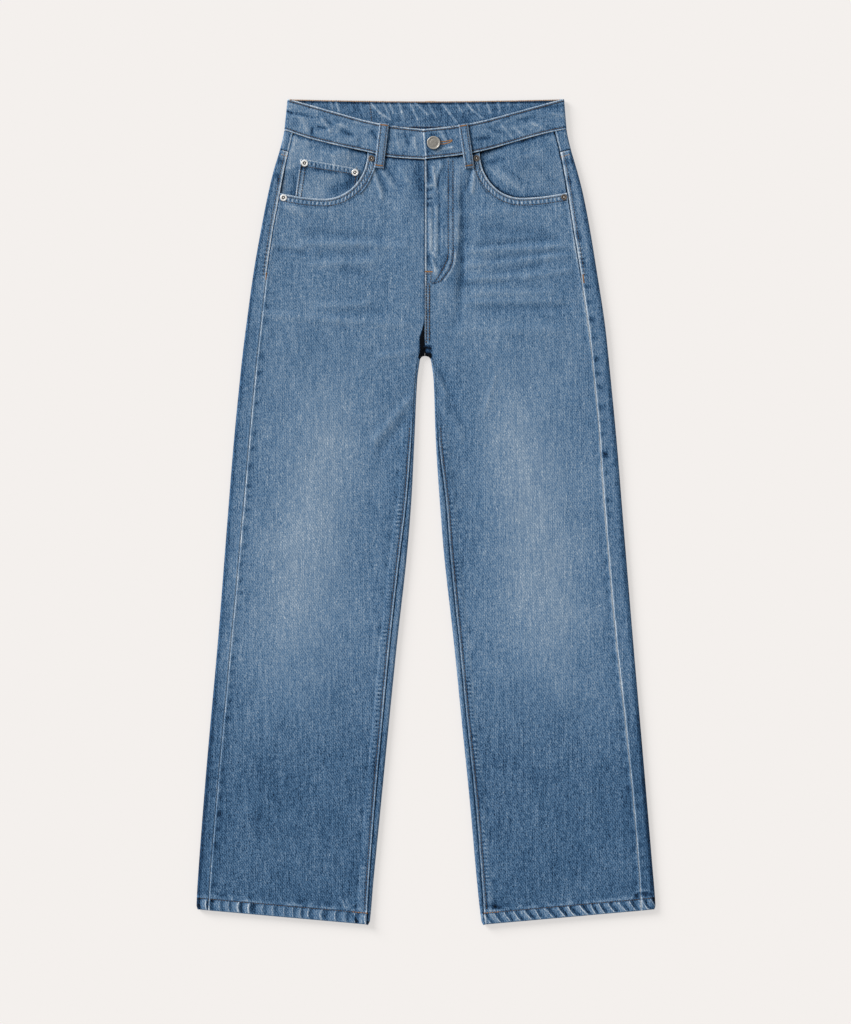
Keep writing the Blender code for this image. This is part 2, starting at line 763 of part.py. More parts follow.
def front_loop(loop, material):
    """A strap over the waistband, a little bowed, with its foot on the front panel."""
    side = LEFT if loop.top_x > 0 else RIGHT
    start, end = Vector((loop.top_x, loop.top_down)), Vector((loop.bottom_x, loop.bottom_down))
    along = (end - start).normalized()
    across = Vector((along.y, -along.x)) * LOOP_WIDTH / 2
    rows = []
    for k in range(11):
        share = k / 10
        middle = start.lerp(end, share)
        band = band_height(side, middle.x)
        panel = top_height(middle.x, middle.y)
        under = max(panel, band + (panel - band) * smooth_step(*LOOP_STEPS_DOWN, middle.y))
        height = under + SEAM_GAP + STRAP + LOOP_BOW * math.sin(math.pi * share)
        points = [middle + across * s for s in (-1, 0, 1)]
        rows.append([place(point.x, point.y, height) for point in points])
    return cloth(loop.name, rows, STRAP, material)


def back_loop(loop, material):
    """A strap behind the waistband, pressed flat under the garment."""
    bm = bmesh.new()
    bmesh.ops.create_cube(bm, size=1)
    length = loop.bottom_down - loop.top_down
    bmesh.ops.scale(bm, vec=(LOOP_WIDTH, length, STRAP), verts=bm.verts)
    mesh = bpy.data.meshes.new(loop.name)
    bm.to_mesh(mesh)
    bm.free()
    obj = bpy.data.objects.new(loop.name, mesh)
    obj.location = place(loop.top_x, (loop.top_down + loop.bottom_down) / 2, STRAP / 2)
    return keep(obj, material)


# The garment

for old in list(bpy.data.objects):
    bpy.data.objects.remove(old)

garment = bpy.data.collections.new("wide leg jeans")
cutters = bpy.data.collections.new("cutters")
for collection in (garment, cutters):
    bpy.context.scene.collection.children.link(collection)
cutters.hide_render = True

denim = make_material("washed denim", (0.098, 0.195, 0.345), 0.9)
nickel = make_material("brushed nickel", (0.55, 0.52, 0.46), 0.4, 1.0)
metals = {
    "silver": make_material("nickel rivet", (0.80, 0.78, 0.74), 0.3, 1.0),
    "bronze": make_material("aged copper", (0.24, 0.17, 0.13), 0.45, 1.0),
}

for side, word in SIDES:
    front_panel(side, f"front_{word}", denim)
    back_panel(side, f"back_{word}", denim)
    yoke(side, f"yoke_{word}", denim)
    pocket_facing(side, f"pocket_facing_{word}", denim)
    back_pocket(side, f"back_pocket_{word}", denim)
coin_pocket("coin_pocket", denim)
waistband("waistband", denim)
for loop in FRONT_LOOPS:
    front_loop(loop, denim)
for loop in BACK_LOOPS:
    back_loop(loop, denim)
fly_button("fly_button", nickel)
for spots, surface in ((PANEL_RIVETS, top_height), (COIN_RIVETS, coin_height)):
    for spot in spots:
        height = rivet_seat(surface, spot.x, spot.down)
        rivet(spot.name, spot.x, spot.down, height, metals[spot.metal])
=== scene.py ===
import math
from collections import namedtuple

import bpy
import numpy as np
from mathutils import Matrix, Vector
from mathutils.bvhtree import BVHTree


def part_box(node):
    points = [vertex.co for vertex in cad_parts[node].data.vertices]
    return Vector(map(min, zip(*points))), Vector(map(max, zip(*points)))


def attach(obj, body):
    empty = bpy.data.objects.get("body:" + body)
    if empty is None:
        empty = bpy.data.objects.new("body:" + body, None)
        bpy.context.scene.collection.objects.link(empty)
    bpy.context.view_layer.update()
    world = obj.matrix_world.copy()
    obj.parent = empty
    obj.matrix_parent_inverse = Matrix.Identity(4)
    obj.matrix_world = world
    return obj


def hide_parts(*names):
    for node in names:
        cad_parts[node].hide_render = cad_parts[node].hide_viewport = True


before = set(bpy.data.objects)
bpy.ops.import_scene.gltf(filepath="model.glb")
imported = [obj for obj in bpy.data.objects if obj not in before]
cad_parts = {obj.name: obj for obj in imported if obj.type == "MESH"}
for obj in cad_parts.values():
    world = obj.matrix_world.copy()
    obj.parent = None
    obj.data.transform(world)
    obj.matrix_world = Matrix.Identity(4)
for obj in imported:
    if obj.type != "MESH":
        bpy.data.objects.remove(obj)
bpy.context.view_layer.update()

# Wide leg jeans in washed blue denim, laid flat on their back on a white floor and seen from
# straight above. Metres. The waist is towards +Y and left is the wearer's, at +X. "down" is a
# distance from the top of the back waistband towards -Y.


# The camera looks straight down from far off, so both legs are seen flat. The photograph is
# 851 x 1024 pixels, and the jeans are 597 mm wide on it.

PHOTO_WIDTH, PHOTO_HEIGHT = 851, 1024
PIXEL = 0.0013
TOP_Y = 0.538
ORIGIN_PIXEL = (426, 98)
LENS, SENSOR = 200, 36

lens = bpy.data.cameras.new("camera")
lens.lens = LENS
lens.sensor_width = SENSOR
lens.clip_end = 50
camera = bpy.data.objects.new("camera", lens)
camera.location = (
    (PHOTO_WIDTH / 2 - ORIGIN_PIXEL[0]) * PIXEL,
    TOP_Y - (PHOTO_HEIGHT / 2 - ORIGIN_PIXEL[1]) * PIXEL,
    PHOTO_HEIGHT * PIXEL * LENS / SENSOR,
)
bpy.context.scene.collection.objects.link(camera)
bpy.context.scene.camera = camera
bpy.context.scene.view_settings.view_transform = "Standard"


# The floor is a plain off-white light table, which glows a little and so softens all shadows.
# The light is a studio's: a white room all round, and one soft lamp low above the upper left.

TABLE = "F4F0ED"
TABLE_GLOW = 0.60
FLOOR_HEIGHT = -0.0005
ROOM_LIGHT = 0.48
LAMP_LIGHT = 0.52
LAMP_WIDTH = math.radians(30)
LAMP_FROM_TOP = math.radians(65)
LAMP_TURN = math.radians(52)


def linear(colour):
    """An sRGB colour in hex as the linear colour that a shader takes."""
    parts = [int(colour[k : k + 2], 16) / 255 for k in (0, 2, 4)]
    return [p / 12.92 if p <= 0.04045 else ((p + 0.055) / 1.055) ** 2.4 for p in parts] + [1]


def add(tree, kind, inputs=(), **settings):
    """A node with its settings. An input given as a socket is linked, and any other is a value."""
    node = tree.nodes.new(kind)
    for name, value in settings.items():
        setattr(node, name, value)
    for name, value in dict(inputs).items():
        if isinstance(value, bpy.types.NodeSocket):
            tree.links.new(value, node.inputs[name])
        else:
            node.inputs[name].default_value = value
    return node


def new_material(name):
    """A material with one Principled shader."""
    material = bpy.data.materials.new(name)
    material.use_nodes = True
    return material, material.node_tree, material.node_tree.nodes["Principled BSDF"]


bpy.ops.mesh.primitive_plane_add(size=8, location=(0, 0, FLOOR_HEIGHT))
floor = bpy.context.object
floor.name = "floor"
bpy.ops.object.transform_apply()
opal, _, shader = new_material("opal light table")
shader.inputs["Base Color"].default_value = [part * (1 - TABLE_GLOW) for part in linear(TABLE)[:3]] + [1]
shader.inputs["Emission Color"].default_value = linear(TABLE)
shader.inputs["Emission Strength"].default_value = TABLE_GLOW
shader.inputs["Roughness"].default_value = 1
shader.inputs["Specular IOR Level"].default_value = 0
floor.data.materials.append(opal)

room = bpy.data.worlds.new("room")
room.use_nodes = True
room.node_tree.nodes["Background"].inputs["Color"].default_value = (1, 1, 1, 1)
room.node_tree.nodes["Background"].inputs["Strength"].default_value = ROOM_LIGHT
bpy.context.scene.world = room

lamp_data = bpy.data.lights.new("lamp", "SUN")
lamp_data.energy = LAMP_LIGHT * math.pi / math.cos(LAMP_FROM_TOP)
lamp_data.angle = LAMP_WIDTH
lamp = bpy.data.objects.new("lamp", lamp_data)
lamp.rotation_euler = (-LAMP_FROM_TOP, 0, LAMP_TURN)
bpy.context.scene.collection.objects.link(lamp)


# Front panels: one to each leg, of 13 oz denim that has been washed and worn pale on the thighs.
# Each is sewn to the back panel along both edges, and the pocket mouth is cut out of its top.

CENTRE = -0.0015
DENIM = 0.0012
HEM = 0.0026
SEAM_GAP = 0.0003
LEFT, RIGHT = 1, -1
SIDES = ((LEFT, "left"), (RIGHT, "right"))
WORD = dict(SIDES)
LEG_TOP = 0.0060
HIP_TOP = 0.0070
SEAT_LIFT = 0.0019
FLY_RISE = 0.0008
CROTCH_DIP = 0.0016


def lengths(text):
    """Lengths in metres from a list in mm."""
    return np.array(text.split(), float) / 1000


def plan_line(text):
    """A line in plan, written as x and down in mm."""
    return lengths(text).reshape(-1, 2)


def in_mm(kind, text, unscaled=0):
    """Rows of a table written in mm, except for the last columns that are unscaled."""
    width = len(kind._fields)
    rows = lengths(text).reshape(-1, width) * ([1] * (width - unscaled) + [1000] * unscaled)
    return tuple(kind(*row) for row in rows)


# The outer and inner outline of the legs, and how far inside it the seams run on the front.
Edge = namedtuple("Edge", "down left right left_seam right_seam")
OUTER = in_mm(Edge, """
    2 179.5 180 15 12   42 182.8 184 15.5 11.8   68 188.5 190 15 12
    96 196.7 198.3 17.5 14   126 204.3 205.4 20 15.5   172 213.2 214.5 21.5 16
    224 221.7 223.6 21.5 17.5   289 231.8 232.7 21.5 19   341 237.6 239.2 21 19.5
    445 247.7 249.6 21.5 20   549 256.2 258.1 22.5 19.5   705 269.1 270.4 21.5 17.5
    861 282.6 284.5 18 17   991 293.6 294.8 17.5 16   1049 298.2 298.2 18.4 15.5
    1054.5 296.8 296.8 16.9 13.9
""")
INNER = in_mm(Edge, """
    341.5 6.5 8 3.2 3.2   367 9.8 11.3 3.1 3.1   445 12.6 15 3.6 3.6
    523 17.7 18.9 7.8 6   601 24.1 25.4 7.8 9   705 35.8 37.1 6.8 9
    809 46.2 47.7 6.5 8.4   913 56.7 57.9 7 7.8   1017 66 68.1 6.2 5.6
    1069 71.7 72.7 4.1 3.9   1074 73.8 74.8 2.4 2.2
""")

# Rows across the panels: above the crotch, round the crotch's turned edge, and down the legs.
Row = namedtuple("Row", "outer front back")
YOKE_SEAM = Row(0.0680, 0.1080, 0.1090)
SEAT_ROWS = in_mm(Row, """
    96 134 129   125 156 149   153 174 172   187 200 198
    226 231 229   265 262 261   302 288 290   333 306 314
""")
FIRST_WHOLE_ROW = SEAT_ROWS[2]
Turn = namedtuple("Turn", "outer front wrap start end inside")
CROTCH_ROWS = (
    Turn(0.3490, 0.3110, 0.00, 10, 0, 0.0155),
    Turn(0.3560, 0.3145, 0.25, 26, 0, 0.0155),
    Turn(0.3620, 0.3175, 0.50, 42, 0, 0.0155),
    Turn(0.3690, 0.3203, 1.00, 60, 0, 0.0155),
    Turn(0.3770, 0.3300, 1.00, 77, 42, 0.0050),
)
CROTCH_EDGE = 0.3358
Leg = namedtuple("Leg", "outer inner")
LEG_ROWS = in_mm(Leg, """
    385 343   402 366   430 406   470 456   520 514   580 580   650 655
    725 734   800 812   875 890   950 967.5   1020 1039   1038 1057.2   1054.5 1074
""")
ROW_STEP = 0.0027
HEM_STEP = 0.0016

Waist = namedtuple("Waist", "share top left right")
WAIST = (
    Waist(0.00, 0.0413, 0.0797, 0.0803),
    Waist(0.25, 0.0363, 0.0746, 0.0770),
    Waist(0.43, 0.0300, 0.0684, 0.0698),
    Waist(0.63, 0.0204, 0.0582, 0.0620),
    Waist(0.83, 0.0104, 0.0478, 0.0530),
    Waist(1.00, 0.0020, 0.0412, 0.0428),
)
WAIST_FOLD = 0.0026
OVERLAP_END_TOP = -0.0043
OVERLAP_END_BOTTOM = -0.0009
Mouth = namedtuple("Mouth", "inner low low_down outer_down")
MOUTHS = {
    LEFT: Mouth(0.0698, 0.1235, 0.1302, 0.1235),
    RIGHT: Mouth(0.0760, 0.1320, 0.1313, 0.1240),
}

# Soft ridges and troughs of the top layer: a line in plan, its half width and its height.
Fold = namedtuple("Fold", "x0 down0 x1 down1 spread rise")
FOLDS = in_mm(Fold, """
    41 100 38 250 12 0.7   58 130 52 270 12 -0.6
    16 370 60 520 18 -0.8   -18 390 -60 500 18 -0.6
    150 420 160 760 45 0.7   -130 420 -160 760 45 0.7
""")

# Creases and whiskers, each a line in plan with its half width, its height and how much paler
# (above 0) or darker (below 0) it is painted. The paler ridges are rubbed wear with some painted
# highlight, and the darker troughs are painted shade.
Crease = namedtuple("Crease", "x0 down0 x1 down1 spread rise wash")
CREASES = in_mm(Crease, """
    47 152 112 148 6.1 0.54 0.06   79 170 155 177 6.8 -0.54 -0.11   70 192 168 183 4.6 -0.68 -0.13
    57 199 161 194 4.1 0.68 0.1   161 194 190 196 4.1 0.68 0.09   79 212 187 198 4.1 -0.68 -0.14
    53 218 157 207 4.1 0.68 0.11   157 207 187 204 3.8 0.68 0.1   92 227 151 217 4.1 -0.54 -0.13
    57 235 131 233 3.8 0.54 0.08   131 233 187 224 4.1 0.68 0.1   53 243 103 241 4.1 -0.54 -0.11
    64 254 161 253 4.6 0.54 0.09   53 266 174 263 3.8 0.54 0.07   70 276 183 272 6.1 -0.54 -0.1
    47 302 174 302 6.8 0.54 0.06   -161 190 -92 190 4.6 0.68 0.09   -92 190 -27 194 4.6 0.54 0.07
    -192 191 -162 195 3 0.54 0.09   -194 197 -157 203 3 -0.81 -0.2   -150 176 -60 181 5.4 -0.54 -0.09
    -135 203 -75 201 5.4 -0.54 -0.1   -148 217 -70 214 4.3 0.54 0.08   -105 223 -80 229 6.8 -0.54 -0.12
    -138 272 -79 268 4.6 0.54 0.08   -110 280 -60 277 6.8 -0.4 -0.09   -209 282 -116 289 5.4 0.54 0.07
    -116 289 -27 295 5.4 0.54 0.06   -186 143 -120 150 8.1 0.54 0.06   -69 92 -57 130 2.2 0.9 0.36
    -65 92 -51 122 2 -0.75 -0.28   -59 92 -44 114 2 0.75 0.3   -50 92 -34 116 2.4 -0.6 -0.22
    -33 93 -24 108 3 0.6 0.18   63 94 60 122 2.4 0.75 0.3   58 94 53 120 2.2 -0.6 -0.22
    -66 445 -21 392 5.6 0.85 0.11   -60 462 -24 415 5 -0.5 -0.06   -60 336 -10 330 4 0.75 0.1
    12 345 34 390 5 -0.9 -0.14   12 352 26 386 3 0.75 0.12   18 395 45 440 5 0.75 0.09
    34 400 56 432 5 -0.4 -0.05   90 360 75 412 2.2 0.45 0.12   -111.8 1038.3 -105.3 1051.3 1.2 0.5 0.36
    -103.1 1042.6 -100.1 1051.3 1.2 0.5 0.32   -90.1 1044.8 -98.8 1052.4 1.2 0.5 0.32
    -94.9 1062.1 -89.7 1072.5 1.8 -0.5 -0.6   80 1050 96 1052 3 -0.4 -0.36
    -11 90 -8 118 6 -0.6 -0.2   185 106 187 110 2.8 -0.3 -0.46
    196.5 176 198.5 183 3.2 -0.3 -0.5   203 212 205 218 2.8 -0.3 -0.44   -193 100 -191.5 108 3.2 -0.3 -0.42
    -184 137 -173 150 1.6 0.5 0.26   -178 137 -162 153 1.5 0.5 0.22   -172 139 -156 154 1.5 0.4 0.16
    173 137 179 150 1.8 0.5 0.2   166 138 172 154 1.6 0.4 0.14   8.5 90 12.4 113 1.2 0.91 0.56
    12.4 114 16.5 126 1.1 0.78 0.54   18.9 94 15 113 1.6 -1.04 -0.6   15.2 115 17.2 130 1.6 -0.65 -0.24
    20.5 87 16.5 100 2.2 0.78 0.3   2 88 5 108 2.4 -0.65 -0.24   24.5 86 22.5 112 2.4 -0.65 -0.22
    1.8 115 8 113.5 1.2 0.65 0.32   1.8 121.5 8.5 120 1.3 -0.65 -0.41   1.8 127.2 7 126.8 1.1 0.52 0.3
    1.8 131.2 8 130.8 1.1 -0.65 -0.41   1.8 134.6 6.2 134.4 1 0.52 0.3   1.8 138.8 9 138.2 1.3 -0.65 -0.46
    5.5 144 5.5 197 2.8 0.39 0.2   9.5 142 9.5 200 0.9 -0.39 -0.3   13.1 142 13 198 2.2 0.39 0.19
    17.3 138 17.2 204 1.4 -0.65 -0.38   20.5 172 20.5 190 1.1 0.26 0.19   22.8 168 22.8 196 1.2 -0.39 -0.22
    3 206 7 219 3 -0.52 -0.3   8.5 201 14 208 1.2 0.65 0.35   8 212 12.8 229 1.2 0.78 0.41
    12.5 211 18 221 2.8 -0.52 -0.24
""", unscaled=1)

# The fly's stitch rows, which turn like a J from the waistband to the centre seam, and the
# rows below them on the centre seam.
J_ROWS = [
    plan_line("35 83 35 150 35.1 206 34.4 213.2 31.2 222.3 26 230.1 19.5 237.9 13 240.5 8.5 240.8"),
    plan_line("28.9 83 28.9 150 28.9 202 27.3 210.6 23.4 219.7 16.9 231.4 12 238"),
]
CENTRE_ROWS = [plan_line("0 245 0.2 319"), plan_line("4.6 245 4.4 316")]

# Bent creases: the fly's edge ridges, and the ridge and trough that run down beside the J. Each has
# its points in plan, its half width, its height and how much paler (above 0) or darker (below 0) it
# is painted: the ridges are rubbed pale, and the troughs are darkened as painted shade.
Bend = namedtuple("Bend", "points spread rise wash")
BENDS = (
    Bend(plan_line("2.2 243 2.2 316"), 0.0013, 0.0003, 0.24),
    Bend(plan_line("38.5 200 36.5 216.5 31 227.5 24 237"), 0.0014, 0.0005, 0.58),
    Bend(plan_line("32 200 30.8 211.5 27 221.5 20.5 232.5"), 0.0011, 0.0004, 0.52),
    Bend(plan_line("42.9 90 43.5 108 42.2 134 42.9 147 41.6 170 41.6 186 40 200"), 0.0012, 0.0005, 0.26),
    Bend(plan_line("46 118 47.2 140 47.8 165 47 200 45.5 235 44 256"), 0.0044, -0.0009, -0.34),
    Bend(plan_line("43.6 264 42 278 40.5 290"), 0.0060, -0.0004, -0.16),
    Bend(plan_line("50 170 50 205 48 240"), 0.0080, -0.0005, -0.10),
)

# Distances of the mesh's columns from the outseam and from the inseam or centre seam.
NEAR_OUTSEAM = lengths("0 0.6 1.3 2.1 3.2 5 7.2 9.7")
NEAR_INSEAM = lengths("""
    0 0.6 1.3 2.1 3 4.4 6 7.8 9.2 10.6 12.5 14.5 16.5 18.5 20.5 22.5 25 27.5 29.3 30.5 31.7 33.5
    35.3 36.5 37.7 39.5 41.5 43.5 45.5 47.5 50
""")
FRONT_COLUMNS = 70
MOUTH_COLUMN = 53
MOUTH_OFFSETS = lengths("0 0.6 1.3 2.1 3 4.2 5.6 7 8.2 9.4 10.8 12.5")
MOUTH_STITCHES = (0.0031, 0.0092)
BLEND_ROWS = 28
INSEAM_STITCHES = 0.0038
OUTSEAM_STITCHES = 0.0046
STITCH_SHADE = 0.32
HEM_DEPTH = 0.0160
HEM_STITCHES = HEM_DEPTH - 0.0012
FELL_WIDTH = 0.0122
ROPE_PITCH = 0.0137
TICK_PITCH = 0.0190
PUCKER_PITCH = 0.0054
FLY_DOT_PITCH = 0.0042
CROTCH_GAP = ((0.285, 0.300, 0.308, 0.315), (0.0, 0.0030, 0.0058, 0.0072))

# The two belt loops in front, each from its upper to its lower end.
Loop = namedtuple("Loop", "name top_x top_down bottom_x bottom_down")
FRONT_LOOPS = (
    Loop("belt_loop_front_left", 0.0481, 0.0345, 0.0568, 0.0916),
    Loop("belt_loop_front_right", -0.0542, 0.0335, -0.0611, 0.0916),
)


def smooth_step(low, high, value):
    share = np.clip((value - low) / (high - low), 0, 1)
    return share * share * (3 - 2 * share)


def hill(middle, spread, value):
    """A soft hill of height 1."""
    return np.exp(-(((value - middle) / spread) ** 2))


def noise(x, y, wide, tall, seed):
    """Soft noise from -1 to 1, on cells that are wide and tall."""
    x, y = x / wide, y / tall
    i, j = np.floor(x), np.floor(y)
    u, v = smooth_step(0, 1, x - i), smooth_step(0, 1, y - j)

    def corner(right, up):
        value = np.sin((i + right) * 127.1 + (j + up) * 311.7 + seed * 74.7) * 43758.5
        return (value - np.floor(value)) * 2 - 1

    low = corner(0, 0) * (1 - u) + corner(1, 0) * u
    return low * (1 - v) + (corner(0, 1) * (1 - u) + corner(1, 1) * u) * v


def noise_along(line, wide, seed):
    """Soft noise from -1 to 1 that only changes along a line."""
    return noise(line, 0 * line, wide, 1, seed)


def from_table(table, column, at):
    """The values of a column of a table at some places, on a smooth curve through its rows."""
    places = np.array([row[0] for row in table])
    values = np.array([getattr(row, column) for row in table])
    low = np.maximum(np.arange(len(table)) - 1, 0)
    high = np.minimum(np.arange(len(table)) + 1, len(table) - 1)
    slopes = (values[high] - values[low]) / (places[high] - places[low])
    at = np.clip(at, places[0], places[-1])
    k = np.clip(np.searchsorted(places, at, side="right") - 1, 0, len(table) - 2)
    step = places[k + 1] - places[k]
    t = (at - places[k]) / step
    return (
        values[k] * (1 + 2 * t) * (1 - t) ** 2
        + values[k + 1] * (3 - 2 * t) * t**2
        + slopes[k] * step * t * (1 - t) ** 2
        - slopes[k + 1] * step * (1 - t) * t**2
    )


def edge_x(table, side, down):
    return side * from_table(table, WORD[side], down)


def seam_inside(table, side, down):
    return from_table(table, WORD[side] + "_seam", down)


def outseam_x(side, down):
    return edge_x(OUTER, side, down) - side * seam_inside(OUTER, side, down)


def seat_height(down):
    """The seat lies on the back pockets, and the legs on the floor."""
    return SEAT_LIFT * (1 - smooth_step(0.285, 0.400, down))


def near_line(line, x, down):
    """1 on a line in plan, falling softly to 0 at about twice its spread."""
    run_x, run_down = line.x1 - line.x0, line.down1 - line.down0
    length = run_x**2 + run_down**2
    share = ((x - line.x0) * run_x + (down - line.down0) * run_down) / length
    share = np.clip(share, 0, 1)
    away = np.hypot(x - line.x0 - run_x * share, down - line.down0 - run_down * share)
    return np.exp(-((away / line.spread) ** 2))


def near_path(points, spread, x, down):
    """1 on a bent line in plan, falling softly to 0 beside it."""
    parts = [Fold(*a, *b, spread, 0) for a, b in zip(points, points[1:])]
    return np.max([near_line(part, x, down) for part in parts], axis=0)


def top_height(x, down):
    """Height of the top layer below the waistband."""
    hip = 1 - smooth_step(0.270, 0.430, down)
    fly = FLY_RISE * (1 - smooth_step(0.020, 0.050, abs(x))) * (1 - smooth_step(0.200, 0.290, down))
    crotch = np.hypot(x - CENTRE, down - CROTCH_EDGE) / 0.014
    folds = sum(fold.rise * near_line(fold, x, down) for fold in FOLDS)
    return LEG_TOP + (HIP_TOP - LEG_TOP) * hip + fly - CROTCH_DIP * np.exp(-(crotch**2)) + folds


def top_relief(x, down):
    """The top layer's creases, and the small unevenness of washed cloth."""
    creases = sum(crease.rise * near_line(crease, x, down) for crease in CREASES)
    soft = 0.00022 * noise(x, down, 0.045, 0.060, 1) + 0.00010 * noise(x, down, 0.016, 0.022, 2)
    return creases + soft * smooth_step(0.0, 0.03, abs(x - CENTRE))


def top_wash_and_shade(x, down):
    """How far the indigo is washed out of the top layer: 0 is dark blue and 1 is nearly white. The creases'
    troughs are darkened as painted shade.
    """
    thigh = np.where(x > 0, 0.120 + 0.125 * (down - 0.40), -0.126 - 0.175 * (down - 0.40))
    fade = hill(0, 0.052, x - thigh) * smooth_step(0.28, 0.50, down) * (1 - smooth_step(0.62, 0.86, down))
    inner = smooth_step(0.10, 0.02, abs(x)) * smooth_step(0.30, 0.42, down)
    inner *= 1 - smooth_step(0.6, 0.8, down)
    calf = smooth_step(0.68, 0.92, down)
    creases = 1.2 * sum(crease.wash * near_line(crease, x, down) for crease in CREASES)
    cloudy = 0.045 * noise(x, down, 0.030, 0.045, 3) + 0.035 * noise(x, down, 0.009, 0.016, 4)
    over_fly = smooth_step(0.000, 0.006, x) * smooth_step(0.052, 0.042, x) * smooth_step(0.262, 0.235, down)
    fly = 0.20 * over_fly * noise(x, down, 0.0075, 0.0150, 8)
    return 0.56 + 0.25 * fade - 0.13 * inner - 0.25 * calf + creases + cloudy + fly


def crotch_gleam(x, down):
    """The one spot of blue that light reaches in the dark end of the crotch."""
    return 0.85 * hill(0.0032, 0.0042, x) * hill(0.3287, 0.0030, down)


def finer(rows, step):
    """More rows between these, at most a step apart at the outer edge."""
    table = np.array(rows)
    places = np.arange(len(rows))
    slopes = np.gradient(table, axis=0)
    made = []
    for k in places[:-1]:
        count = math.ceil((table[k + 1, 0] - table[k, 0]) / step)
        for t in np.arange(count) / count:
            value = table[k] * (1 + 2 * t) * (1 - t) ** 2 + table[k + 1] * (3 - 2 * t) * t**2
            value += slopes[k] * t * (1 - t) ** 2 - slopes[k + 1] * (1 - t) * t**2
            made.append(type(rows[0])(*value))
    return made + [rows[-1]]


def fold_frame(side, row, turn):
    """A point of the inner edge, the way out from the cloth there, and the cloth's two heights."""
    if isinstance(row, Leg):
        x, down = edge_x(INNER, side, row.inner), row.inner
        out_x, out_down = -side, 0
    else:
        wide = abs(edge_x(INNER, side, INNER[0].down) - CENTRE)
        deep = INNER[0].down - CROTCH_EDGE
        turn = math.radians(turn)
        x = CENTRE + side * (SEAM_GAP / 2 + (wide - SEAM_GAP / 2) * math.sin(turn))
        down = CROTCH_EDGE + deep * (1 - math.cos(turn))
        out = math.hypot(math.sin(turn) / wide, math.cos(turn) / deep)
        out_x, out_down = -side * math.sin(turn) / wide / out, math.cos(turn) / deep / out
    return x, down, out_x, out_down, seat_height(down), top_height(x, down)


def inseam_inside(side, row):
    return seam_inside(INNER, side, row.inner) if isinstance(row, Leg) else row.inside


END_COLUMNS = 15
END_WIDTH = 0.0125


def back_end(side, row):
    """The last points of a back panel's row: up to the centre seam, or round the inner edge."""
    shares = np.linspace(0, 1, END_COLUMNS)
    if isinstance(row, Row):
        end = CENTRE + side * SEAM_GAP / 2
        height = seat_height(row.back)
        return np.array([(end + side * END_WIDTH * (1 - share), row.back, height) for share in shares])
    start, end, wrap = (90, 90, 1) if isinstance(row, Leg) else (row.start, row.end, row.wrap)
    points = []
    for share in shares:
        x, down, out_x, out_down, low, high = fold_frame(side, row, start + (end - start) * share)
        radius = (high - low) / 2
        round_edge = min(1.0, 2 * share * wrap)
        if round_edge < 1:
            back_in = radius * (1 - math.sin(math.pi * round_edge))
            height = low + radius * (1 - math.cos(math.pi * round_edge))
        else:
            inside = inseam_inside(side, row) - SEAM_GAP / 2
            back_in = radius + (inside - radius) * (2 * share * wrap - 1)
            height = None
        x, down = x - out_x * back_in, down - out_down * back_in
        points.append((x, down, top_height(x, down) if height is None else height))
    return np.array(points)


def front_end(side, row):
    """The inner end of a front panel's row in plan."""
    if not isinstance(row, Leg) and row.front <= CROTCH_ROWS[3].front:
        return np.array((CENTRE + side * SEAM_GAP / 2, row.front))
    turn = 90 if isinstance(row, Leg) else row.end
    x, down, out_x, out_down, _, _ = fold_frame(side, row, turn)
    inside = inseam_inside(side, row) + SEAM_GAP / 2
    return np.array((x - out_x * inside, down - out_down * inside))


# One row of both panels: where it starts, where the front ends, and the back panel's last points.
Line = namedtuple("Line", "outer front back")


def lines(side):
    """Every mesh row of a leg from the yoke's seam to the hem."""
    below_yoke = Row(*[down + SEAM_GAP for down in YOKE_SEAM])
    rows = finer((below_yoke,) + SEAT_ROWS, ROW_STEP) + list(CROTCH_ROWS)
    rows += finer(LEG_ROWS[:-1], ROW_STEP) + finer(LEG_ROWS[-2:], HEM_STEP)[1:]
    whole = [Line(row.outer, front_end(side, row), back_end(side, row)) for row in rows]
    made = []
    for a, b in zip(whole, whole[1:]):
        count = max(1, math.ceil((b.outer - a.outer) / ROW_STEP - 0.01))
        made += [Line(*[p + (q - p) * k / count for p, q in zip(a, b)]) for k in range(count)]
    return made + [whole[-1]]


def strip_start(side, line):
    """Where a row crosses the outseam, in plan."""
    slope = (line.front[1] - line.outer) / abs(edge_x(OUTER, side, line.outer) - line.front[0])
    down = line.outer + seam_inside(OUTER, side, line.outer) * slope
    return outseam_x(side, down), down


def waist_down(side, x):
    """Where the waistband's lower edge is on the front."""
    start = OVERLAP_END_BOTTOM if side == LEFT else CENTRE
    end = edge_x(OUTER, side, getattr(WAIST[-1], WORD[side])) - side * WAIST_FOLD
    return from_table(WAIST, WORD[side], (x - start) / (end - start))


def resampled(points, distances):
    """Points of a line in plan at some distances along it."""
    points = np.array(points)
    along = np.concatenate([[0], np.cumsum(np.hypot(*np.diff(points, axis=0).T))])
    distances = np.array(distances) if np.ndim(distances) else np.arange(0, along[-1], distances)
    return np.stack([np.interp(distances, along, points[:, k]) for k in (0, 1)], axis=1)


def line_length(points):
    return np.hypot(*np.diff(np.array(points), axis=0).T).sum()


def mouth_line(side, offset):
    """The pocket mouth moved out by an offset: a slack line from the outseam, then an ellipse."""
    mouth = MOUTHS[side]
    top = waist_down(side, side * mouth.inner) + SEAM_GAP
    wide, deep = mouth.low - mouth.inner + offset, mouth.low_down - top + offset
    outer_down = mouth.outer_down + offset
    seam_x = outseam_x(side, outer_down) - side * SEAM_GAP / 2
    points = []
    for share in np.linspace(0, 1, 40)[:-1]:
        x = seam_x + (side * mouth.low - seam_x) * share
        sag = (mouth.low_down - mouth.outer_down) * math.sin(share * math.pi / 2)
        points.append((x, outer_down + sag))
    for turn in np.linspace(0, math.acos(offset / deep), 80):
        points.append((side * (mouth.low - wide * math.sin(turn)), top + deep * math.cos(turn)))
    return np.array(points)


def waist_line(side, start_x, offset):
    """The panel's edge under the waistband, from the pocket mouth to the centre."""
    x = np.linspace(start_x, CENTRE + side * SEAM_GAP / 2, 60)
    return np.stack([x, waist_down(side, x) + SEAM_GAP + offset], axis=1)


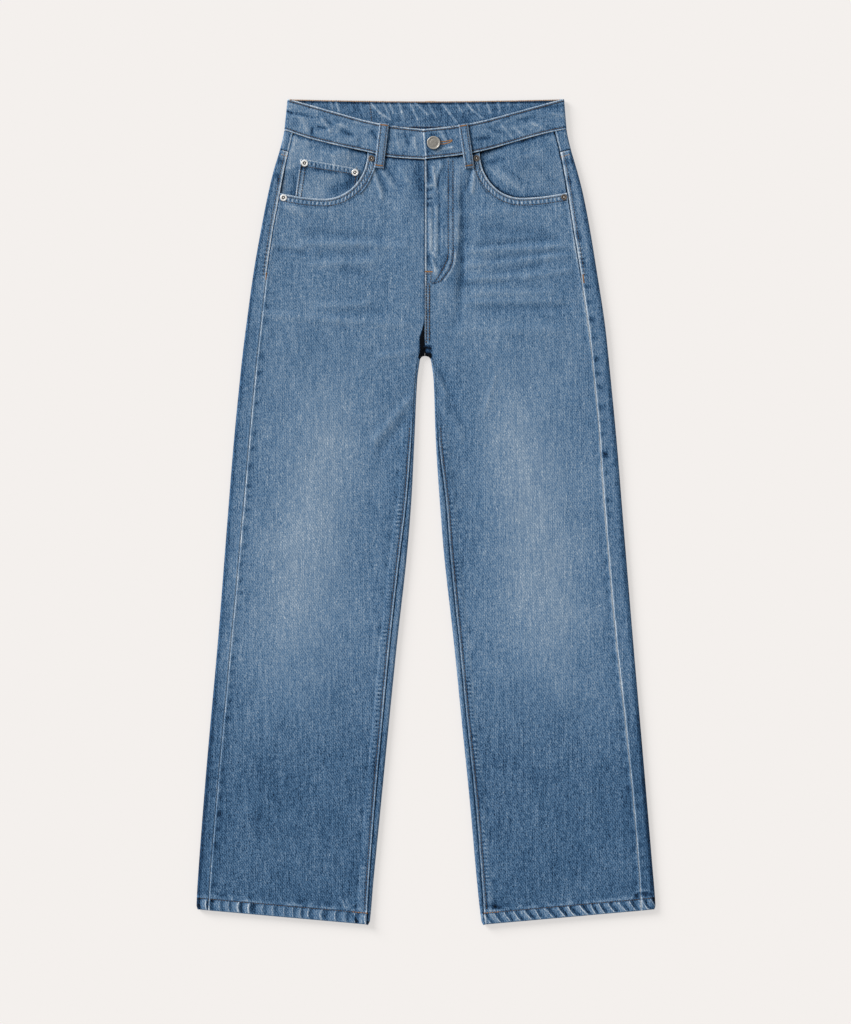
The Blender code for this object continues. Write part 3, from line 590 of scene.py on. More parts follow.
def spread_out(length, near, far, count):
    """Distances along a row: close together near both ends and even between."""
    middle = np.linspace(near[-1], length - far[-1], count)[1:-1]
    return np.concatenate([near, middle, length - np.array(far)[::-1]])


def front_plan(side):
    """The front panel's mesh in plan, and how far each vertex is from the mouth or waist edge."""
    rows, depths = [], []
    for offset in MOUTH_OFFSETS:
        mouth = mouth_line(side, offset)
        waist = waist_line(side, mouth[-1][0], offset)
        even = MOUTH_COLUMN - len(NEAR_OUTSEAM) + 2
        on_mouth = spread_out(line_length(mouth), NEAR_OUTSEAM, (0,), even)
        even = FRONT_COLUMNS + len(NEAR_OUTSEAM) - len(on_mouth)
        on_waist = spread_out(line_length(waist), (0,), NEAR_INSEAM, even)[1:]
        rows.append(np.concatenate([resampled(mouth, on_mouth), resampled(waist, on_waist)]))
        depths.append(offset)
    for line in lines(side):
        if line.outer < FIRST_WHOLE_ROW.outer - 1e-6:
            continue
        start = np.array(strip_start(side, line)) - (side * SEAM_GAP / 2, 0)
        length = np.hypot(*(line.front - start))
        share = spread_out(length, NEAR_OUTSEAM, NEAR_INSEAM, FRONT_COLUMNS) / length
        rows.append(start + (line.front - start) * share[:, None])
        depths.append(1)
    at = len(MOUTH_OFFSETS)
    last, first = rows[at - 1], rows[at]
    rows[at:at] = [last + (first - last) * k / (BLEND_ROWS + 1) for k in range(1, BLEND_ROWS + 1)]
    depths[at:at] = [1] * BLEND_ROWS
    plan = np.array(rows)
    return plan[:, :, 0], plan[:, :, 1], np.array(depths)[:, None]


def along_rows(x, down):
    """The distance of each vertex from the first one of its row."""
    steps = np.hypot(np.diff(x, axis=1), np.diff(down, axis=1))
    return np.concatenate([np.zeros((len(x), 1)), np.cumsum(steps, axis=1)], axis=1)


def patches(along, pitch, seed):
    """Uneven patches from 0 to 1 along a seam, where the layers under it have kept the dye."""
    turn = 2 * math.pi * along / pitch + 2.4 * noise_along(along, pitch * 1.5, seed)
    size = 0.65 + 0.5 * noise_along(along, pitch * 1.1, seed + 50)
    return smooth_step(0.25, 0.95, np.cos(turn)) * np.clip(size, 0.15, 1)


def hem_relief(side, x, from_hem, seed):
    """A turned up hem: its height and washed-out colour, with painted shade along its stitch row, and the
    phase and strength of its slanting twists.
    """
    inside = smooth_step(HEM_DEPTH + 0.0010, HEM_DEPTH - 0.0010, from_hem)
    stitch = hill(HEM_STITCHES, 0.0011, from_hem)
    worn = smooth_step(-0.7, 0.3, noise_along(x, 0.006, seed + 3))
    line = hill(HEM_DEPTH + 0.0010 + 0.0006 * noise_along(x, 0.004, seed + 5), 0.0013, from_hem)
    height = 0.0005 * inside - 0.0004 * stitch + 0.0004 * line
    # The darkening at the stitch row is painted shade.
    wash = 0.20 * inside - 0.50 * stitch + 0.46 * line * worn
    wash += 0.18 * hill(0.0004, 0.0008, from_hem)
    turn = 2 * math.pi * (x + 0.6 * from_hem) / TICK_PITCH + 3 * noise_along(x, 0.05, seed + 6)
    wash += 0.30 * smooth_step(0.55, 1.0, np.sin(turn)) * hill(HEM_DEPTH + 0.0035, 0.0026, from_hem)
    wash -= 0.22 * hill(HEM_DEPTH + 0.0055, 0.0030, from_hem) * patches(x, 0.034, seed + 4)
    lean, bend = (1.00, 18) if side == LEFT else (0.46, 32)
    phase = 2 * math.pi * (x + lean * from_hem - bend * from_hem**2) / ROPE_PITCH
    phase += 2.2 * noise_along(x, 0.030, seed) + 0.6 * noise_along(x, 0.010, seed + 1)
    roping = smooth_step(0.0002, 0.0020, from_hem) * smooth_step(HEM_STITCHES, HEM_DEPTH - 0.0030, from_hem)
    roping *= (0.85 + 0.40 * noise_along(x, 0.026, seed + 2))
    return height + 0.00025 * np.sin(phase) * roping, wash, phase, roping


def hem_arch(x, down):
    """A dark patch under a pale arch, where the left hem's end has been rubbed over its seam."""
    above = np.hypot((x - 0.2830) / 0.0145, (down - 1.0375) / 0.0075)
    below = smooth_step(1.0400, 1.0385, down)
    return (0.26 * hill(1.05, 0.16, above) - 0.34 * smooth_step(0.95, 0.70, above)) * below


def front_surface(side, x, down, depth):
    """The front panel's height, and what its material needs: its washed-out colour with painted shade
    and highlight, and where the cloth is puckered by a seam or twisted in the hem, with the phase of
    both. Each hill is a ridge, a rubbed line, or a painted line of shade or highlight, at its distance
    from a seam and with its half width."""
    from_outseam = along_rows(x, down)
    to_inseam = from_outseam[:, -1:] - from_outseam
    from_hem = np.where(down[:, -1:] > 1.014, down[-1:, :] - down, 1)
    height = top_height(x, down) + top_relief(x, down)
    wash = top_wash_and_shade(x, down) + hem_arch(x, down)

    # The outseam: open above the tack, with painted shade in its groove, then a line rubbed pale with
    # dark patches beside it. Below the tack the seam's gap is painted pale, a painted highlight over its
    # shade.
    height += 0.00040 * hill(0.0015, 0.0012, from_outseam) - 0.00030 * hill(0, 0.0006, from_outseam)
    uneven = 0.62 + 0.38 * noise_along(down, 0.013, 24 + side)
    open_seam = 1 - smooth_step(0.225, 0.240, down)
    line = hill(0.0009 + 0.0008 * open_seam, 0.0010, from_outseam)
    wash += (0.80 if side == LEFT else 0.20) * (1 - open_seam) * hill(0, 0.0006, from_outseam)
    wash += (0.52 * uneven + 0.04) * line - 0.75 * open_seam * hill(0, 0.0009, from_outseam)
    worn = 0.7 * smooth_step(0.52, 0.56, down) if side == LEFT else smooth_step(0.225, 0.245, down)
    wash -= 0.40 * hill(0.0048, 0.0034, from_outseam) * patches(down, 0.0208, 11 + side) * worn
    wash -= 0.06 * hill(0.0060, 0.0060, from_outseam)

    # The inseam, felled and stitched, with a ridge where the fell ends under the panel, and a line of
    # painted shade along the seam's edge.
    leg = smooth_step(0.40, 0.46, down[:, -1:])
    fell = smooth_step(FELL_WIDTH + 0.001, FELL_WIDTH - 0.001, to_inseam) * leg
    height += 0.00035 * fell + 0.00025 * hill(0.0012, 0.0010, to_inseam) * leg
    height -= 0.00025 * hill(FELL_WIDTH + 0.0015, 0.0012, to_inseam) * leg
    wash += (0.56 * hill(0.0013, 0.0008, to_inseam) - 0.36 * hill(0.0, 0.0006, to_inseam)) * leg
    far_line = (0.14 + 0.12 * noise_along(down, 0.020, 25)) * hill(FELL_WIDTH, 0.0010, to_inseam)
    wash += (fell * (0.16 * smooth_step(0.86, 1.02, down) - 0.02) + far_line) * leg
    wash -= 0.26 * hill(FELL_WIDTH + 0.0030, 0.0025, to_inseam) * leg * patches(down, 0.030, 12)
    pucker = 1.25 * hill(0.0078, 0.0026, to_inseam) * leg
    pucker *= 0.6 + 0.6 * noise_along(down, 0.024, 15 + side)
    phase = 2 * math.pi * down / PUCKER_PITCH + 2.5 * noise_along(down, 0.015, 16 + side)

    # The centre: the left panel laps over the right one, and the fly is stitched through it.
    fly = smooth_step(0.322, 0.310, down[:, -1:])
    from_centre = abs(x - CENTRE)
    if side == LEFT:
        height += 0.00055 * smooth_step(0.0030, 0.0, to_inseam) * fly
        height -= 0.00030 * hill(0.0034, 0.0010, to_inseam) * fly
        # A pale worn edge on the lap, with a line of painted shade beside it.
        wash += (0.60 * hill(0.0009, 0.0012, to_inseam) - 0.50 * hill(0.0036, 0.0009, to_inseam)) * fly
        uneven = 0.8 + 0.45 * noise(x, down, 0.020, 0.011, 17)
        for bend in BENDS:
            near = near_path(bend.points, bend.spread, x, down)
            height += bend.rise * near
            wash += bend.wash * near * uneven
        wash += 0.30 * hill(0.0038, 0.0018, from_centre) * smooth_step(0.243, 0.250, down) * fly
        # The deep end of the crotch is painted shade, with one painted spot of light.
        deep = smooth_step(0.3200, 0.3240, down) * smooth_step(0.0104, 0.0080, from_centre)
        wash -= deep * (1.1 - crotch_gleam(x, down))
    else:
        # Painted shade on the right panel where it goes under the lap.
        wash -= 0.60 * hill(0.0, 0.0012, to_inseam) * fly
        wash -= 0.20 * hill(0.0060, 0.0050, to_inseam) * hill(0.112, 0.040, down) * fly
        height -= 0.00030 * hill(0, 0.0010, to_inseam) * fly
        # Painted shade in the narrow gap beside the centre seam near the crotch.
        open_to = np.interp(down, CROTCH_GAP[0], CROTCH_GAP[1])
        in_gap = smooth_step(open_to + 0.0012, open_to - 0.0010, from_centre)
        wash -= 1.2 * in_gap * smooth_step(0.286, 0.300, down)

    # The pocket mouth: a narrow hem with two rows of stitches and puckers between them.
    at_mouth = smooth_step(MOUTH_COLUMN + 1.5, MOUTH_COLUMN - 1.5, np.arange(x.shape[1]))[None, :]
    hemmed = smooth_step(0.0115, 0.0098, depth) * at_mouth
    height += 0.00035 * hemmed + 0.00025 * hill(0.0011, 0.0009, depth) * at_mouth
    wash += (0.52 * hill(0.0008, 0.0012, depth) + 0.04 * hemmed) * at_mouth
    wash -= 0.22 * hill(0.0122, 0.0016, depth) * at_mouth
    # Painted shadow on the panel's edge under the waistband.
    wash -= 0.85 * hill(0.0, 0.0022, depth) * (1 - at_mouth)
    bead = 1.6 * hill(0.0062, 0.0021, depth) * at_mouth
    phase = np.where(bead > 0.05, 2 * math.pi * from_outseam / PUCKER_PITCH, phase)
    pucker = np.maximum(pucker, bead)

    # The stitches sink into the cloth, and more so where the fly's rows turn. The darkening round them,
    # dotted along the fly's rows, is painted shade.
    sunk = 1.2 * hill(INSEAM_STITCHES, 0.0012, to_inseam) * leg
    for row, spread in zip(MOUTH_STITCHES, (0.0008, 0.0009)):
        sunk += hill(row, spread, depth) * at_mouth
    dots = 0.7 + 0.5 * np.sin(2 * math.pi * (down + 0.6 * x) / FLY_DOT_PITCH)
    for path in J_ROWS + CENTRE_ROWS if side == LEFT else ():
        sunk += (1.1 + 0.3 * smooth_step(0.190, 0.210, down)) * near_path(path, 0.0012, x, down)
        wash -= 0.16 * dots * near_path(path, 0.0017, x, down) * smooth_step(0.195, 0.212, down)
    height -= 0.00020 * sunk
    wash -= STITCH_SHADE * sunk

    # Painted shadows of the belt loops, beside and below them.
    for loop in FRONT_LOOPS:
        foot = np.array((loop.bottom_x, loop.bottom_down))
        edge = (np.array((loop.top_x, loop.top_down)) + (0.0072, 0), foot + (0.0072, 0.0010))
        wash -= 0.50 * near_path(edge, 0.0018, x, down)
        wash -= 0.40 * near_path((foot + (-0.0050, 0.0018), foot + (0.0060, 0.0012)), 0.0013, x, down)

    rise, paler, twist, roping = hem_relief(side, x, from_hem, 21 + side)
    in_hem = smooth_step(0.035, 0.026, from_hem)
    paint = {
        "wash": wash + paler * in_hem,
        "pucker": pucker * (1 - in_hem),
        "roping": roping * in_hem,
        "phase": np.where(in_hem > 0, twist, phase),
    }
    return height + rise * in_hem, paint


def cloth(name, x, down, height, thickness, paint, facing=1, hem_rows=0):
    """A shell of cloth from a grid of points on its outer side, which faces up (1) or down (-1) at
    the first point. paint holds the grid's values for the material, by name."""
    rows, columns = x.shape
    points = np.stack([x, TOP_Y - down, height], axis=2).reshape(-1, 3)
    corner = (np.arange(rows - 1)[:, None] * columns + np.arange(columns - 1)).ravel()
    faces = np.stack([corner, corner + 1, corner + columns + 1, corner + columns], axis=1)
    first = points[faces[0]]
    normal = np.cross(first[2] - first[0], first[3] - first[1])
    if normal[2] * facing < 0:
        faces = faces[:, ::-1]
    mesh = bpy.data.meshes.new(name)
    mesh.from_pydata(points.tolist(), [], faces.tolist())
    for key, values in paint.items():
        layer = mesh.attributes.new(key, "FLOAT", "POINT")
        layer.data.foreach_set("value", (values + 0 * x).astype(np.float32).ravel())
    mesh.shade_smooth()
    made = bpy.data.objects.new(name, mesh)
    bpy.context.scene.collection.objects.link(made)
    wall = made.modifiers.new("Wall", "SOLIDIFY")
    wall.offset = -1
    wall.thickness = thickness
    if hem_rows:
        hem = made.vertex_groups.new(name="hem")
        hem.add(range(columns * (rows - hem_rows), columns * rows), 1.0, "REPLACE")
        wall.thickness = HEM
        wall.vertex_group = "hem"
        wall.thickness_vertex_group = thickness / HEM
    bpy.ops.object.select_all(action="DESELECT")
    made.select_set(True)
    bpy.context.view_layer.objects.active = made
    bpy.ops.object.modifier_apply(modifier="Wall")
    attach(made, "root")
    return made


# Washed denim: indigo warp over white weft. Its grain runs down the leg in short slubs, and the
# twill's ribs slant across it. All are drawn about three times as coarse as they are, to show at
# all. The sizes of the grain are across, down and through the cloth.
# The colour at each value. The darkest stops, below 0, serve the painted shade of the deepest folds and gaps.
WASH_AND_SHADE_COLOURS = {
    -0.35: "05080F", -0.10: "17304C", 0.10: "2D4C6C", 0.25: "3B5B7C", 0.38: "446789", 0.52: "56799A",
    0.66: "6883A0", 0.80: "798FA5", 0.95: "879BAF", 1.10: "A9B8C6", 1.25: "C8D1DA",
}
SLUB = (0.0010, 0.0040, 1 / 90)
STREAK = (0.0016, 0.0260, 1 / 90)
SPECK = (0.0011, 0.0011, 0.0011)
CLOUD = (0.0070, 0.0070, 0.0070)
WARP_PITCH = 0.0029
RIB_PITCH = 0.0027
RIB_LEAN = math.radians(-34)
SLUB_WAVER, SPECK_WAVER = 14, 12
GRAIN_WEIGHTS = {"slub": 0.50, "streak": 0.50, "speck": 0.78, "warp": 0.25, "rib": 0.43, "cloud": 0.12}

denim, tree, shader = new_material("washed denim")
place = add(tree, "ShaderNodeTexCoord").outputs["Object"]
lean = {"Vector": place, "Angle": RIB_LEAN}
leaning = add(tree, "ShaderNodeVectorRotate", lean, rotation_type="Z_AXIS").outputs["Vector"]
made = {}
for name in ("wash", "pucker", "roping", "phase"):
    made[name] = add(tree, "ShaderNodeAttribute", attribute_name=name).outputs["Fac"]
spots = (("slub", SLUB, 1), ("streak", STREAK, 1), ("speck", SPECK, 1), ("cloud", CLOUD, 2))
for name, size, detail in spots:
    scaled = {0: place, 1: [1 / s for s in size]}
    spot = add(tree, "ShaderNodeVectorMath", scaled, operation="MULTIPLY").outputs["Vector"]
    fine = {"Vector": spot, "Scale": 1, "Detail": detail}
    made[name] = add(tree, "ShaderNodeTexNoise", fine).outputs["Fac"]
for name, seen_from, pitch in (("warp", place, WARP_PITCH), ("rib", leaning, RIB_PITCH)):
    turns = {0: seen_from, 1: (2 * math.pi / pitch, 0, 0)}
    made[name] = add(tree, "ShaderNodeVectorMath", turns, operation="DOT_PRODUCT").outputs["Value"]

# Each step is named after what it makes, and takes what is made before it, or numbers. The dye's
# grain is weak where it is washed out ("worn") and in the painted shade of the darkest folds ("deep").
STEPS = [
    ("warp", "MULTIPLY_ADD", "slub", SLUB_WAVER, "warp"),
    ("warp", "SINE", "warp"),
    ("warp", "MULTIPLY_ADD", "warp", 0.5, 0.5),
    ("rib", "MULTIPLY_ADD", "speck", SPECK_WAVER, "rib"),
    ("rib", "SINE", "rib"),
    ("rib", "MULTIPLY_ADD", "rib", 0.5, 0.5),
    ("wave", "SINE", "phase"),
    ("bars", "MULTIPLY", "wave", "pucker"),
    ("crest", "MULTIPLY_ADD", "wave", 0.5, 0.5),
    ("crest", "POWER", "crest", 22),
    ("after", "ADD", "phase", -1.7),
    ("after", "SINE", "after"),
    ("after", "MULTIPLY_ADD", "after", 0.5, 0.5),
    ("after", "POWER", "after", 1.5),
    ("after", "MULTIPLY_ADD", "after", -0.62, 0.10),
    ("ridges", "MULTIPLY_ADD", "crest", 0.75, "after"),
    ("twists", "MULTIPLY", "ridges", "roping"),
    ("worn", "MULTIPLY_ADD", "wash", -0.80, 1.52),
    ("deep", "MULTIPLY_ADD", "wash", 1.30, 0.78),
    ("strength", "MINIMUM", "worn", "deep"),
]
for name, weight in GRAIN_WEIGHTS.items():
    STEPS += [
        ("centred", "ADD", name, -0.5),
        ("faded", "MULTIPLY", "centred", "strength"),
        ("wash", "MULTIPLY_ADD", "faded", weight, "wash"),
    ]
STEPS += [
    ("wash", "MULTIPLY_ADD", "bars", 0.27, "wash"),
    ("wash", "ADD", "wash", "twists"),
    ("relief", "MULTIPLY_ADD", "slub", 0.6, "speck"),
    ("relief", "MULTIPLY_ADD", "rib", 0.3, "relief"),
    ("relief", "MULTIPLY_ADD", "bars", 0.35, "relief"),
    ("relief", "MULTIPLY_ADD", "twists", 1.2, "relief"),
]
for name, operation, *values in STEPS:
    inputs = {k: made[v] if isinstance(v, str) else v for k, v in enumerate(values)}
    made[name] = add(tree, "ShaderNodeMath", inputs, operation=operation).outputs["Value"]

darkest, palest = min(WASH_AND_SHADE_COLOURS), max(WASH_AND_SHADE_COLOURS)
share = {"Value": made["wash"], "From Min": darkest, "From Max": palest}
ramp = add(tree, "ShaderNodeValToRGB", {"Fac": add(tree, "ShaderNodeMapRange", share).outputs["Result"]})
while len(ramp.color_ramp.elements) < len(WASH_AND_SHADE_COLOURS):
    ramp.color_ramp.elements.new(0.5)
for stop, (position, colour) in zip(ramp.color_ramp.elements, WASH_AND_SHADE_COLOURS.items()):
    stop.position = (position - darkest) / (palest - darkest)
    stop.color = linear(colour)
bumps = add(tree, "ShaderNodeBump", {"Height": made["relief"], "Strength": 0.8, "Distance": 0.0005})
tree.links.new(ramp.outputs["Color"], shader.inputs["Base Color"])
tree.links.new(bumps.outputs["Normal"], shader.inputs["Normal"])
shader.inputs["Roughness"].default_value = 0.9
shader.inputs["Specular IOR Level"].default_value = 0.08
shader.inputs["Sheen Weight"].default_value = 0.02
shader.inputs["Sheen Roughness"].default_value = 0.5


def declare(piece, node, flat, rests_on, held="laid", **area):
    piece.data.materials.append(denim)
    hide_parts(node)


HEM_MESH_ROWS = 11
fronts = {}
for side, word in SIDES:
    x, down, depth = front_plan(side)
    height, paint = front_surface(side, x, down, depth)
    panel = cloth(f"denim_front_{word}", x, down, height, DENIM, paint, hem_rows=HEM_MESH_ROWS)
    declare(panel, f"front_{word}", flat=(0.245, 0.995), rests_on=[f"back_{word}"], area=0.205)
    fronts[side] = panel


# Back panels: the same denim. Each comes round both edges of its leg, so a strip of it shows
# beside the outseam and beside the inseam, and it meets the other one in the seat seam.

STRIP_COLUMNS = (0, 0.04, 0.09, 0.15, 0.23, 0.36, 0.52, 0.76, 1)
ARC_STEPS = 8
SEAT_COLUMNS = 34


def back_row(side, line):
    """A row's points from the outseam, over the strip, round the outer edge and across the seat."""
    outer_x = edge_x(OUTER, side, line.outer)
    low, high = seat_height(line.outer), top_height(outer_x, line.outer)
    radius = (high - low) / 2
    seam = np.array(strip_start(side, line)) + (side * SEAM_GAP / 2, 0)
    edge = np.array((outer_x - side * radius, line.outer))
    strip = [seam + (edge - seam) * share for share in STRIP_COLUMNS]
    points = [(p[0], p[1], top_height(p[0], p[1])) for p in strip]
    points[-1] = (edge[0], edge[1], high)
    for turn in np.linspace(math.pi, 0, ARC_STEPS + 1)[1:]:
        x = outer_x - side * radius * (1 - math.sin(turn))
        points.append((x, line.outer, low + radius * (1 - math.cos(turn))))
    start, end = np.array(points[-1]), line.back[0]
    for share in np.linspace(0, 1, SEAT_COLUMNS + 2)[1:-1]:
        x, down, _ = start + (end - start) * share
        points.append((x, down, seat_height(down)))
    return np.concatenate([points, line.back])


def seat_wash(x, down):
    """The washed-out dye underneath: paler on the seat, and uneven where the knees bend the cloth."""
    seat = hill(0, 0.075, np.hypot(abs(x) - 0.10, (down - 0.21) * 0.8))
    knee = hill(0.62, 0.09, down) * hill(0.14, 0.07, abs(x))
    bent = knee * noise(x, down, 0.030, 0.022, 7)
    cloudy = 0.05 * noise(x, down, 0.030, 0.045, 5) + 0.035 * noise(x, down, 0.009, 0.016, 6)
    return 0.46 + 0.17 * seat - 0.05 * knee + 0.12 * bent - 0.08 * smooth_step(0.68, 0.92, down) + cloudy


def back_surface(side, grid):
    """The back panel's relief and washed-out colour on its strips and underneath, with painted shade and
    highlight.
    """
    x, down, height = grid[:, :, 0], grid[:, :, 1], grid[:, :, 2].copy()
    steps = np.linalg.norm(np.diff(grid, axis=1), axis=2)
    from_outseam = np.concatenate([np.zeros((len(x), 1)), np.cumsum(steps, axis=1)], axis=1)
    to_inseam = from_outseam[:, -1:] - from_outseam
    column = np.arange(x.shape[1])[None, :]
    on_strip = column < len(STRIP_COLUMNS)
    round_edge = (column >= len(STRIP_COLUMNS) - 1) & (column < len(STRIP_COLUMNS) + ARC_STEPS)
    on_top = height > (seat_height(down) + top_height(x, down)) / 2
    height += np.where(on_top, top_relief(x, down) * smooth_step(0.002, 0.008, from_outseam + to_inseam), 0)
    wash = np.where(on_top, top_wash_and_shade(x, down), seat_wash(x, down)) - 0.05 * on_strip

    # The outseam: above the tack a worn edge beside the open seam, then a line rubbed pale.
    below_tack = smooth_step(0.225, 0.245, down)
    at_edge = hill(0.0011, 0.0010, from_outseam)
    height += 0.00040 * hill(0.0014, 0.0011, from_outseam) * below_tack
    height -= 0.00030 * hill(0, 0.0006, from_outseam)
    uneven = 0.6 + 0.5 * noise_along(down, 0.015, 26 + side)
    wash += (0.36 if side == LEFT else 0.24) * uneven * below_tack * at_edge
    # Above the tack a pale worn edge beside the gap, which is painted dark as shade; below the tack the gap
    # is painted pale, a painted highlight over its shade.
    wash += 0.80 * (1 - below_tack) * at_edge - 0.20 * hill(0, 0.0005, from_outseam) * (1 - below_tack)
    wash += (0.90 if side == LEFT else 0.20) * below_tack * hill(0, 0.0006, from_outseam)
    rubbed = 0.16 * hill(0.0036, 0.0012, from_outseam) - 0.18 * hill(0.0062, 0.0016, from_outseam)
    rubbed += 0.14 * hill(0.0095, 0.0020, from_outseam)
    wash += rubbed * (1 - below_tack) * (0.7 + 0.6 * noise_along(down, 0.012, 18 + side))
    if side == LEFT:
        worn = below_tack * smooth_step(0.56, 0.52, down) + 0.3 * smooth_step(0.86, 0.90, down)
        wash -= 0.62 * hill(0.0048, 0.0042, from_outseam) * patches(down, 0.021, 14) * worn * on_strip
    # Painted shade on the legs' rounded outer edges.
    wash -= 0.34 * round_edge

    # The seam below the yoke.
    from_yoke = down - down[:1, :]
    wash += (0.75 * hill(0.0010, 0.0011, from_yoke) + 0.16 * hill(0.0060, 0.0030, from_yoke)) * on_strip
    wash -= 0.34 * hill(0.0135, 0.0032, from_yoke) * on_strip
    height += 0.00030 * hill(0.0010, 0.0012, from_yoke) * on_strip

    # The inseam, with painted shade along its edge, and the dark end of the crotch, painted shade with
    # one painted spot of light.
    leg = smooth_step(0.39, 0.45, down)
    wash -= 0.36 * hill(0, 0.0012, to_inseam) * leg
    wash += 0.10 * hill(0.0045, 0.0020, to_inseam) * leg
    height -= 0.00050 * hill(0, 0.0010, to_inseam)
    crotch = np.hypot(x - CENTRE, down - CROTCH_EDGE + 0.004)
    wash -= (1.1 - crotch_gleam(x, down)) * smooth_step(0.0125, 0.0085, crotch) * on_top
    pucker = 1.2 * hill(0.0044, 0.0024, from_outseam) * on_strip
    pucker *= smooth_step(0.180, 0.195, down) * (1 - below_tack)
    from_hem = np.where(down > 1.0, down[-1:, :] - down, 1)
    rise, paler, twist, roping = hem_relief(side, x, from_hem, 31 + side)
    in_hem = smooth_step(0.035, 0.026, from_hem)
    wash += hem_arch(x, down) * on_strip
    paint = {
        "wash": wash + paler * in_hem,
        "pucker": pucker,
        "roping": roping * in_hem,
        "phase": np.where(in_hem > 0, twist, 2 * math.pi * down / PUCKER_PITCH),
    }
    return height + np.where(on_top, rise, 0.0009 - rise) * in_hem * ~round_edge, paint


backs = {}
for side, word in SIDES:
    grid = np.array([back_row(side, line) for line in lines(side)])
    height, paint = back_surface(side, grid)
    x, down = grid[:, :, 0], grid[:, :, 1]
    panel = cloth(f"denim_back_{word}", x, down, height, DENIM, paint, hem_rows=HEM_MESH_ROWS)
    declare(panel, f"back_{word}", flat=(0.300, 1.010), rests_on=[f"back_pocket_{word}"], area=0.270)
    backs[side] = panel


# Yokes: a shaped piece of the same denim between the waistband and each back panel, deeper at
# the middle of the back. Its end shows beside the pocket, above the strip of the back panel.


def yoke_lines(side):
    """The mesh rows of a yoke, from the waistband to the seam below it."""
    top = Row(
        getattr(WAIST[-1], WORD[side]) + SEAM_GAP,
        float(waist_down(side, CENTRE)),
        (WAIST[-1].left + WAIST[-1].right) / 2 + SEAM_GAP,
    )
    rows = finer((top, YOKE_SEAM), 0.0022)
    return [Line(row.outer, front_end(side, row), back_end(side, row)) for row in rows]


yokes = {}
for side, word in SIDES:
    grid = np.array([back_row(side, line) for line in yoke_lines(side)])
    under_band = waist_down(side, grid[0, 0, 0]) + SEAM_GAP - grid[0, 0, 1]
    grid[0, : len(STRIP_COLUMNS), 1] += under_band * np.linspace(1, 0, len(STRIP_COLUMNS))
    x, down, height = grid[:, :, 0], grid[:, :, 1], grid[:, :, 2].copy()
    on_top = height > (seat_height(down) + top_height(x, down)) / 2
    to_seam = down[-1:, :] - down
    from_band = down - down[:1, :]
    height += np.where(on_top, 0.0003, -0.0003) * hill(0.0013, 0.0012, to_seam)
    wash = np.where(on_top, top_wash_and_shade(x, down), seat_wash(x, down))
    # On top, the edge at the seam is painted dark as shade, and under the waistband lies a painted shadow.
    wash += np.where(on_top, -0.60, 0.50) * hill(0.0004, 0.0012, to_seam)
    wash -= 0.45 * hill(0, 0.0018, from_band)
    from_outseam = abs(x - x[:, :1])
    wash += (0.46 * hill(0.0012, 0.0009, from_outseam) - 0.40 * hill(0.0030, 0.0008, from_outseam)) * on_top
    panel = cloth(f"denim_yoke_{word}", x, down, height, DENIM, {"wash": wash})
    declare(panel, f"yoke_{word}", flat=(0.215, 0.068), rests_on=[f"back_{word}"], area=0.0095)
    yokes[side] = panel


# Pocket facings: the flat pieces of denim behind the pocket mouths. Each is sewn on the pocket
# bag and runs up under the waistband and out to the outseam.

FACING = 0.0010
FACING_LOW = 0.0042
FACING_HIGH = 0.0068
FACING_BOTTOM = 0.138


def mouth_depth(side, x, down):
    """0 at the waistband and outseam, 1 at the pocket mouth and beyond it."""
    mouth = MOUTHS[side]
    top = waist_down(side, x)
    drop = (down - top) / (mouth.low_down - top)
    in_from_low = np.maximum(0, (mouth.low - abs(x)) / (mouth.low - mouth.inner))
    return np.minimum(1, np.hypot(np.maximum(0, drop), in_from_low))


def facing_height(side, x, down):
    sunk = smooth_step(0.35, 0.92, mouth_depth(side, x, down))
    return FACING_HIGH - (FACING_HIGH - FACING_LOW) * sunk


# The facings' creases: paler on rubbed ridges, and darker in their troughs as painted shade.
FACING_CREASES = in_mm(Crease, """
    -156 56 -133 60 2.6 0.3 0.16   -148 64 -120 68 3 -0.3 -0.2   -113 64 -101 76 4 0.2 0.1
    -177 90 -174 113 4 0.2 0.16   -173 100 -169 126 3.4 -0.2 -0.34   -178 98 -174 124 7 0 -0.26
    -166 90 -169 112 2.6 -0.2 -0.24   -133 70 -118 76 2.2 0.3 0.16   -90 70 -83 88 4 -0.2 -0.22
    -96 74 -90 86 3 -0.2 -0.12   80 84 100 80 4 -0.3 -0.26   84 92 106 113 1.4 0.3 0.34
    92 92 115 112 1.3 0.2 0.3   101 90 123 106 2.2 -0.2 -0.24   99 102 126 122 2 0.2 0.2
    120 76 150 72 4 0.2 0.08   148 90 162 113 4 -0.2 -0.1
""", unscaled=1)

